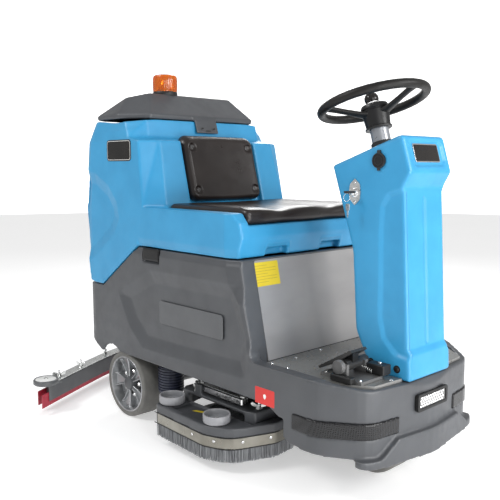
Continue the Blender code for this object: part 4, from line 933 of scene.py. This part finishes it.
# ---------------------------------------------------------------- steering wheel and knob
def steering_wheel():
    across = Vector((1.0, 0.0, 0.0))
    along = STEER_AXIS.cross(across)
    local = Matrix((across, along, STEER_AXIS)).transposed().to_4x4()
    local = Matrix.Translation(STEER_HUB) @ local
    bm = bmesh.new()
    verts = []
    rings, sides = 144, 20
    for n in range(rings):
        angle = math.tau * n / rings
        grip = RIM_R * (1.0 + 0.012 * math.sin(angle * 36) - 0.01)
        row = []
        for k in range(sides):
            turn = math.tau * k / sides
            r = STEER_R + grip * math.cos(turn)
            row.append(bm.verts.new(local @ Vector((r * math.cos(angle), r * math.sin(angle),
                grip * math.sin(turn)))))
        verts.append(row)
    for n in range(rings):
        for k in range(sides):
            bm.faces.new((verts[n - 1][k - 1], verts[n][k - 1], verts[n][k], verts[n - 1][k]))
    for v in bm.verts:
        v.tag = True
    for angle in (30.0, 150.0, 270.0):
        way = Vector((math.cos(math.radians(angle)), math.sin(math.radians(angle)), 0.0))
        side = Vector((-way.y, way.x, 0.0))
        rows = []
        for r, drop, wide, thick in ((0.03, -0.04, 0.026, 0.01), (0.06, -0.032, 0.018, 0.009),
                (0.1, -0.019, 0.014, 0.0085), (0.135, -0.008, 0.015, 0.0085), (0.16, -0.001, 0.02, 0.0085)):
            row = []
            for k in range(16):
                turn = math.tau * k / 16
                point = way * r + side * wide * math.cos(turn) + Vector((0, 0,
                    drop + thick * math.sin(turn)))
                row.append(bm.verts.new(local @ point))
            rows.append(row)
        bridge(bm, rows)
        bm.faces.new(rows[0])
        bm.faces.new(rows[-1])
    from_bm("wheel_rim_and_spokes", bm, FOAM, "steering", ("steering_wheel",), 50.0)
    turned("wheel_hub", [(0.0, -0.004), (0.03, -0.005), (0.041, -0.009), (0.0445, -0.016), (0.0445, -0.022),
        (0.0425, -0.024), (0.0425, -0.028), (0.044, -0.03), (0.0435, -0.04), (0.04, -0.07), (0.039, -0.08),
        (0.043, -0.083), (0.043, -0.0885), (0.0, -0.0885)], STEER_HUB, STEER_AXIS, BLACK, "steering",
        steps=72)
    turned("wheel_hub_cap", [(0.0, 0.0), (0.022, -0.0008), (0.027, -0.003), (0.028, -0.006), (0.0, -0.006)],
        STEER_HUB, STEER_AXIS, GLOSS, "steering", steps=56)
    turned("shaft_sleeve", [(0.0, -0.086), (0.03, -0.086), (0.03, -0.15), (0.0, -0.15)], STEER_HUB,
        STEER_AXIS, TUBE, "steering", steps=48)
    foot = STEER_HUB - STEER_AXIS * 0.142
    turned("column_collar", [(0.0, 0.012), (0.0315, 0.012), (0.0345, 0.009), (0.0365, -0.012),
        (0.0, -0.012)], foot, STEER_AXIS, BLACK, "body", steps=48)


steering_wheel()
angle = math.radians(36.0)
across = Vector((1.0, 0.0, 0.0))
along = Vector((0.0, math.cos(STEER_TILT), -math.sin(STEER_TILT)))
KNOB = STEER_HUB + (across * math.cos(angle) + along * math.sin(angle)) * STEER_R + STEER_AXIS * (RIM_R
    + 0.001)
turned("knob_ball", [(0.0, 0.0), (0.0085, 0.0), (0.008, 0.01), (0.009, 0.017), (0.016, 0.022),
    (0.0225, 0.03), (0.0248, 0.039), (0.024, 0.048), (0.0195, 0.057), (0.011, 0.0625), (0.0, 0.064)], KNOB,
    STEER_AXIS, GLOSS, "knob", ("spinner_knob",), 48, 60.0)
clamp = facing(KNOB - STEER_AXIS * 0.0155, across * math.cos(angle) + along * math.sin(angle), STEER_AXIS)
boxes("knob_clamp", [((-0.0175, -0.0175, -0.014), (0.0175, 0.0165, 0.014))], BLACK, "steering", 0.005, 3,
    clamp)

# ---------------------------------------------------------------- beacon
low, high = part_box("beacon")
BEACON = Vector(((low.x + high.x) / 2, (low.y + high.y) / 2, high.z))
bm = bmesh.new()
rings = [(0.047, -0.074), (0.0495, -0.064), (0.05, -0.056), (0.0503, -0.03), (0.0495, -0.012),
    (0.0465, -0.004), (0.04, -0.0006), (0.0, 0.0)]
ribs = 40
previous = None
for radius, height in rings:
    row = []
    for n in range(ribs * 4):
        turn = math.tau * n / (ribs * 4)
        flute = 1.0 if height > -0.006 or height < -0.07 else 1.0 - 0.016 * (0.5 + 0.5
            * math.cos(turn * ribs))
        row.append(bm.verts.new(BEACON + Vector((radius * flute * math.cos(turn),
            radius * flute * math.sin(turn), height))))
    if previous:
        for n in range(len(row)):
            bm.faces.new((previous[n - 1], previous[n], row[n], row[n - 1]))
    previous = row
from_bm("beacon_lens", bm, AMBER, "lid", ("beacon",), 30.0)
turned("beacon_core", [(0.0, -0.02), (0.016, -0.022), (0.02, -0.05), (0.03, -0.068), (0.0, -0.068)], BEACON,
    UP, CHROME, "lid", steps=40)
turned("beacon_base", [(0.0, -0.068), (0.0485, -0.068), (0.0505, -0.072), (0.0505, -0.082), (0.044, -0.1),
    (0.0, -0.1)], BEACON, UP, BLACK, "lid", steps=64)

# ---------------------------------------------------------------- lamps
low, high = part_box("headlight_lens")
bm = bmesh.new()
for column in range(11):
    for row in range(4):
        x = low.x + (column + 0.5 + 0.5 * (row % 2)) * (high.x - low.x) / 11.8
        z = low.z + (row + 0.5) * (high.z - low.z) / 4
        add_turned(bm, [(0.0, 0.002), (0.0022, 0.0015), (0.0042, 0.0002), (0.0048, -0.001)],
            (x, low.y - 0.0004, z), (0, -1, 0), 12)
from_bm("headlight_cells", bm, CHROME, "body", smooth=60.0)
bm = bmesh.new()
low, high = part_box("headlight")
outer = rounded_outline((high.x - low.x) / 2 + 0.004, (high.z - low.z) / 2 + 0.004, 0.008)
inner = rounded_outline((high.x - low.x) / 2 - 0.007, (high.z - low.z) / 2 - 0.005, 0.005)
middle = facing(((low.x + high.x) / 2, low.y + 0.004, (low.z + high.z) / 2), (1, 0, 0), UP)
front = [bm.verts.new(middle @ Vector((a, b, 0.005))) for a, b in outer]
inside = [bm.verts.new(middle @ Vector((a, b, 0.005))) for a, b in inner]
back = [bm.verts.new(middle @ Vector((a, b, -0.004))) for a, b in outer]
deep = [bm.verts.new(middle @ Vector((a, b, -0.001))) for a, b in inner]
for n in range(len(outer)):
    bm.faces.new((front[n - 1], front[n], inside[n], inside[n - 1]))
    bm.faces.new((back[n], front[n], front[n - 1], back[n - 1]))
    bm.faces.new((inside[n], deep[n], deep[n - 1], inside[n - 1]))
    bm.faces.new((deep[n], back[n], back[n - 1], deep[n - 1]))
from_bm("headlight_bezel", bm, BLACK, "body", bevel=0.0012)


for label, side in SIDES:
    moulded(f"corner_lamp_film_{label}", [f"corner_lamp_{label}"], CARBON, "body", 0.0026, 3, grow=0.0016)

# ---------------------------------------------------------------- controls on the column
KEY_FACE = -COLUMN_HALF - 0.0035
low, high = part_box("key_switch")
switch = Vector((low.x, (low.y + high.y) / 2, (low.z + high.z) / 2))
turned("key_barrel", [(0.0, 0.012), (0.009, 0.012), (0.012, 0.01), (0.0125, 0.002), (0.016, 0.001),
    (0.016, -0.001)], (KEY_FACE, switch.y, switch.z), (-1, 0, 0), CHROME, "body", steps=40)
for n, z in enumerate((switch.z + 0.03, switch.z - 0.03)):
    bolt(f"key_plate_screw_{n}", (KEY_FACE, switch.y, z), (-1, 0, 0), CHROME, "body", 0.0042, 0.002)
ring_at = Vector((-0.152, switch.y + 0.002, switch.z - 0.016))
tube("key_ring", [ring_at + Vector((0.002 * math.sin(a), 0.012 * math.cos(a), 0.012 * math.sin(a)))
    for a in (math.tau * n / 8 for n in range(8))], 0.0008, CHROME, "key", closed=True)
bm = bmesh.new()
spare = facing(ring_at + Vector((0.0, -0.004, -0.03)), (0.25, 1, 0), UP)
add_prism(bm, rounded_outline(0.009, 0.011, 0.005), -0.0012, 0.0012, spare)
add_prism(bm, [(-0.0035, -0.009), (0.0035, -0.009), (0.0035, -0.03), (0.0, -0.034), (-0.0035, -0.03)],
    -0.0008, 0.0008, spare)
from_bm("spare_key", bm, ZINC, "key", bevel=0.0003)
low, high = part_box("socket_cap")
cap = Vector((low.x, (low.y + high.y) / 2, 1.02))
turned("socket_cap_rings", [(0.0, 0.0004), (0.011, 0.0004), (0.0115, 0.0014), (0.0145, 0.0014),
    (0.015, 0.0004), (0.0195, 0.0004), (0.02, 0.0014), (0.023, 0.001), (0.0235, -0.0008)], cap, (-1, 0, 0),
    BLACK, "cap", steps=56)
stop = Vector((0.05, -0.5712, 0.905))
press = Vector((0.0, math.cos(math.radians(18.27)), -math.sin(math.radians(18.27))))
turned("stop_collar", [(0.0125, 0.0035), (0.021, 0.0035), (0.0225, 0.001), (0.0225, -0.001),
    (0.0125, -0.001)], stop, press, YELLOW, "body", steps=40)
dash_up = Vector((0.0, 0.0525, 0.159)).normalized()
screen = facing(Vector((-0.028, -0.5742, 0.9)), (-1, 0, 0), dash_up)
plate("dash_screen_bezel", screen, 0.04, 0.026, 0.005, 0.003, BLACK, "body", 0.001)
plate("dash_screen", screen, 0.034, 0.02, 0.003, 0.0036, GLOSS, "body", 0.0004)
bm = bmesh.new()
for n in range(5):
    at = facing(Vector((-0.062 + n * 0.031, -0.5955, 0.835)), (-1, 0, 0), dash_up)
    add_prism(bm, rounded_outline(0.01, 0.008, 0.003), 0.0, 0.0035, at)
from_bm("dash_keys", bm, GREY, "body", bevel=0.001)

# ---------------------------------------------------------------- accelerator pedal
PEDAL_AXLE = (-0.712, 0.412)
low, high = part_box("accelerator_pedal")
heel = Vector((0.0, -0.612, 0.39))
toe = Vector((0.0, -0.735, 0.462))
tread_way = (toe - heel).normalized()
tread_out = Vector((0, -tread_way.z, tread_way.y)) * -1
centre_x = (low.x + high.x) / 2
bm = bmesh.new()
for n in range(9):
    at = heel.lerp(toe, 0.08 + 0.105 * n)
    mat_at = facing(Vector((centre_x, at.y, at.z)) + tread_out * 0.0002, (1, 0, 0), tread_way)
    add_box(bm, (-0.034, -0.0035, -0.001), (0.034, 0.0035, 0.003), mat_at)
from_bm("pedal_tread", bm, FOAM, "pedal", bevel=0.001)
turned("pedal_pin", [(0.0, 0.107), (0.005, 0.107), (0.006, 0.105), (0.006, 0.0), (0.005, -0.002),
    (0.0, -0.002)], (-0.2645, *PEDAL_AXLE), (1, 0, 0), CHROME, "body", steps=28)


def coil(name, start, end, radius, turns, wire, mat, body):
    start = Vector(start)
    end = Vector(end)
    local = frame_at(start, end - start)
    length = (end - start).length
    points = []
    for n in range(turns * 8 + 1):
        angle = math.tau * n / 8
        points.append(local @ Vector((radius * math.cos(angle), radius * math.sin(angle),
            length * n / (turns * 8))))
    return tube(name, points, wire, mat, body, sides=2)


coil("pedal_spring", (-0.166, -0.76, 0.388), (-0.166, -0.7, 0.402), 0.007, 9, 0.0012, ZINC, "body")
boxes("pedal_switch_box", [((-0.17, -0.8, 0.3805), (-0.13, -0.735, 0.412)),
    ((-0.285, -0.77, 0.3715), (-0.262, -0.69, 0.392))], BLACK, "body", 0.004, 3)
turned("pedal_sensor", [(0.0, 0.03), (0.014, 0.03), (0.0165, 0.027), (0.0165, 0.0), (0.0, 0.0)],
    (-0.172, *PEDAL_AXLE), (1, 0, 0), BLACK, "body", steps=36)
turned("pedal_cam", [(0.0, 0.014), (0.019, 0.014), (0.0215, 0.011), (0.0215, 0.0), (0.0, 0.0)],
    (-0.264, *PEDAL_AXLE), (-1, 0, 0), STEEL, "body", steps=36)
tube("pedal_cable", [(-0.132, -0.755, 0.398), (-0.122, -0.75, 0.392), (-0.117, -0.742, 0.384),
    (-0.1135, -0.735, 0.378)], 0.0035, BLACK, "body")
for n, (x, y) in enumerate(((-0.252, -0.778), (-0.252, -0.65), (-0.172, -0.65), (-0.145, -0.768))):
    height = 0.38 if n < 3 else 0.412
    bolt(f"pedal_bolt_{n}", (x, y, height), UP, CHROME, "body", 0.0065, 0.004)


# ---------------------------------------------------------------- squeegee fittings
SQUEEGEE_TOP = 0.1178


def squeegee_line(x, offset=0.0):
    return 0.851 + offset - 0.55 * (math.sqrt(x * x + 0.01) - 0.1)


def vee_plate(name, front, rear, half, low, high, mat, body, bevel=0.0006):
    stations = [half * n / 24 for n in range(-24, 25)]
    outline = [(x, squeegee_line(x, rear)) for x in stations]
    outline += [(x, squeegee_line(x, front)) for x in reversed(stations)]
    bm = bmesh.new()
    add_prism(bm, outline[::-1], low, high, Matrix.Identity(4))
    return from_bm(name, bm, mat, body, bevel=bevel)


vee_plate("squeegee_top_plate", -0.0315, 0.027, 0.5, 0.1165, 0.119, ZINC, "squeegee")
vee_plate("squeegee_front_face", -0.0318, -0.0288, 0.562, 0.05, 0.113, GREY, "squeegee", 0.001)
vee_plate("squeegee_rear_strap", 0.025, 0.0262, 0.52, 0.0885, 0.1095, ZINC, "squeegee")
for label, side in SIDES:
    for n, x in enumerate((0.15, 0.33, 0.475)):
        wing_nut(f"squeegee_wing_nut_{label}_{n}", (side * x, squeegee_line(x), SQUEEGEE_TOP), 0.8 + n,
            "squeegee")
    at = (side * 0.5, squeegee_line(0.5), SQUEEGEE_TOP)
    spin = Matrix.Translation(Vector(at)) @ Matrix.Rotation(-side * 0.5, 4, "Z")
    boxes(f"squeegee_bracket_{label}", [((-0.026, -0.012, 0.0), (0.026, 0.012, 0.004)),
        ((-0.004, -0.012, 0.004), (0.004, 0.012, 0.026))], ZINC, "squeegee", 0.0012, matrix=spin)
low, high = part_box("squeegee_body")
turned("squeegee_spigot_clip", [(0.025, 0.0), (0.0275, 0.0), (0.0275, 0.01), (0.025, 0.01), (0.025, 0.0)],
    (0.0, squeegee_line(0.0) - 0.005, high.z - 0.022), UP, ZINC, "squeegee", steps=48)

# ---------------------------------------------------------------- small fittings on the body
for n, x in enumerate((-0.03, 0.03)):
    bolt(f"lid_tab_screw_{n}", (x, 0.2098, 1.156), (0, -1, 0.1), BLACK, "lid", 0.004, 0.0018)
# a thin black plate on the lid tab is painted shade standing in for the dark slot; no opening is cut
plate("lid_tab_slot_painted_shade", facing((0.0, 0.2103, 1.1465), (1, 0, 0), UP), 0.012, 0.0022, 0.002, 0.0006, BLACK,
    "lid", 0.0)
for label, side in SIDES:
    spot = facing((side * (BODY_HALF - 0.0103), -0.1, 0.4675), (0, side, 0), UP)
    plate(f"side_panel_{label}", spot, 0.18, 0.0425, 0.012, 0.0012, GREY, "body", 0.0008)

# ---------------------------------------------------------------- tank hinges, on the left at the seam
HINGE_X = 0.3605
HINGE_Z = 0.702
PIN_R = 0.0055
KNUCKLE_HALF = 0.018
LEAF_HALF = 0.045
for label, middle in (("front", -0.11), ("rear", 0.11)):
    for part, body, first, last in (("tank", "tank", -KNUCKLE_HALF, KNUCKLE_HALF),
            ("base_a", "body", -LEAF_HALF, -0.019), ("base_b", "body", 0.019, LEAF_HALF)):
        turned(f"hinge_barrel_{part}_{label}", [(0.0, first), (0.0048, first), (PIN_R, first + 0.0008),
            (PIN_R, last - 0.0008), (0.0048, last), (0.0, last)], (HINGE_X, middle, HINGE_Z), (0, 1, 0),
            ZINC, body, steps=32)
    for part, body, low, high in (("tank", "tank", 0.004, 0.034), ("base", "body", -0.036, -0.004)):
        boxes(f"hinge_leaf_{part}_{label}", [((HINGE_X - 0.0015, middle - LEAF_HALF, HINGE_Z + low),
            (HINGE_X + 0.001, middle + LEAF_HALF, HINGE_Z + high))], ZINC, body, 0.0006)

# ---------------------------------------------------------------- stage, light, camera
STAGE_R = 13.0
world = bpy.data.worlds.new("studio")
bpy.context.scene.world = world
world.use_nodes = True
world.node_tree.nodes["Background"].inputs["Color"].default_value = (1.0, 1.0, 1.0, 1.0)
world.node_tree.nodes["Background"].inputs["Strength"].default_value = 0.5


def area(name, place, target, size, power):
    light = bpy.data.lights.new(name, "AREA")
    light.shape = "RECTANGLE"
    light.size = size[0]
    light.size_y = size[1]
    light.energy = power
    obj = linked(name, light)
    obj.location = place
    obj.rotation_euler = (Vector(target) - Vector(place)).to_track_quat("-Z", "Y").to_euler()
    obj.visible_camera = False


area("key", (0.9, -3.7, 2.2), (0.0, -0.2, 0.5), (1.4, 1.2), 80.0)
area("front_low", (-0.5, -3.2, 0.35), (0.0, -0.7, 0.35), (2.2, 0.5), 34.0)
area("front_fill", (-1.5, -3.6, 1.9), (0.0, -0.1, 0.75), (1.0, 1.0), 30.0)
area("side", (-2.6, 0.9, 3.2), (0.0, 0.0, 0.6), (0.8, 0.8), 48.0)
area("rim", (2.8, 2.4, 3.0), (0.0, 0.0, 0.7), (1.6, 1.6), 60.0)


def stage_piece(name, bm, mat):
    mesh = bpy.data.meshes.new(name)
    bm.to_mesh(mesh)
    bm.free()
    obj = linked(name, mesh)
    mesh.materials.append(mat)
    mesh.shade_smooth()
    return obj


def lit(strength):
    """A finish with some light of its own, which keeps the stage pale where the lamps fall off."""
    def extra(tree, shader, coords, relief):
        put(shader, Emission_Color=(1.0, 1.0, 1.0, 1.0), Emission_Strength=strength)

    return extra


bm = bmesh.new()
bmesh.ops.create_circle(bm, cap_ends=True, segments=64, radius=STAGE_R)
stage_piece("studio_floor", bm, surface("pale_floor", (0.8, 0.8, 0.8), (0.83, 0.83, 0.83), (0.7, 0.8),
    patch=0.5, grain=40.0, bump=0.02, extra=lit(0.42)))
bm = bmesh.new()
bmesh.ops.create_icosphere(bm, subdivisions=4, radius=STAGE_R)
backdrop = stage_piece("studio_backdrop", bm, surface("white_backdrop", (0.9, 0.9, 0.9), (0.9, 0.9, 0.9),
    (0.8, 0.9), extra=lit(1.0)))
for ray in ("diffuse", "glossy", "transmission", "shadow"):
    setattr(backdrop, f"visible_{ray}", False)

camera = linked("camera", bpy.data.cameras.new("camera"))
camera.location = (-1.81, -1.975, 1.0)
camera.rotation_euler = (math.radians(90.0 - 6.88626737), 0.0, math.radians(-43.0526564))
camera.data.lens = 49.338
camera.data.sensor_width = 36.0
camera.data.clip_end = 100.0
bpy.context.scene.camera = camera
bpy.context.scene.view_settings.view_transform = "Standard"
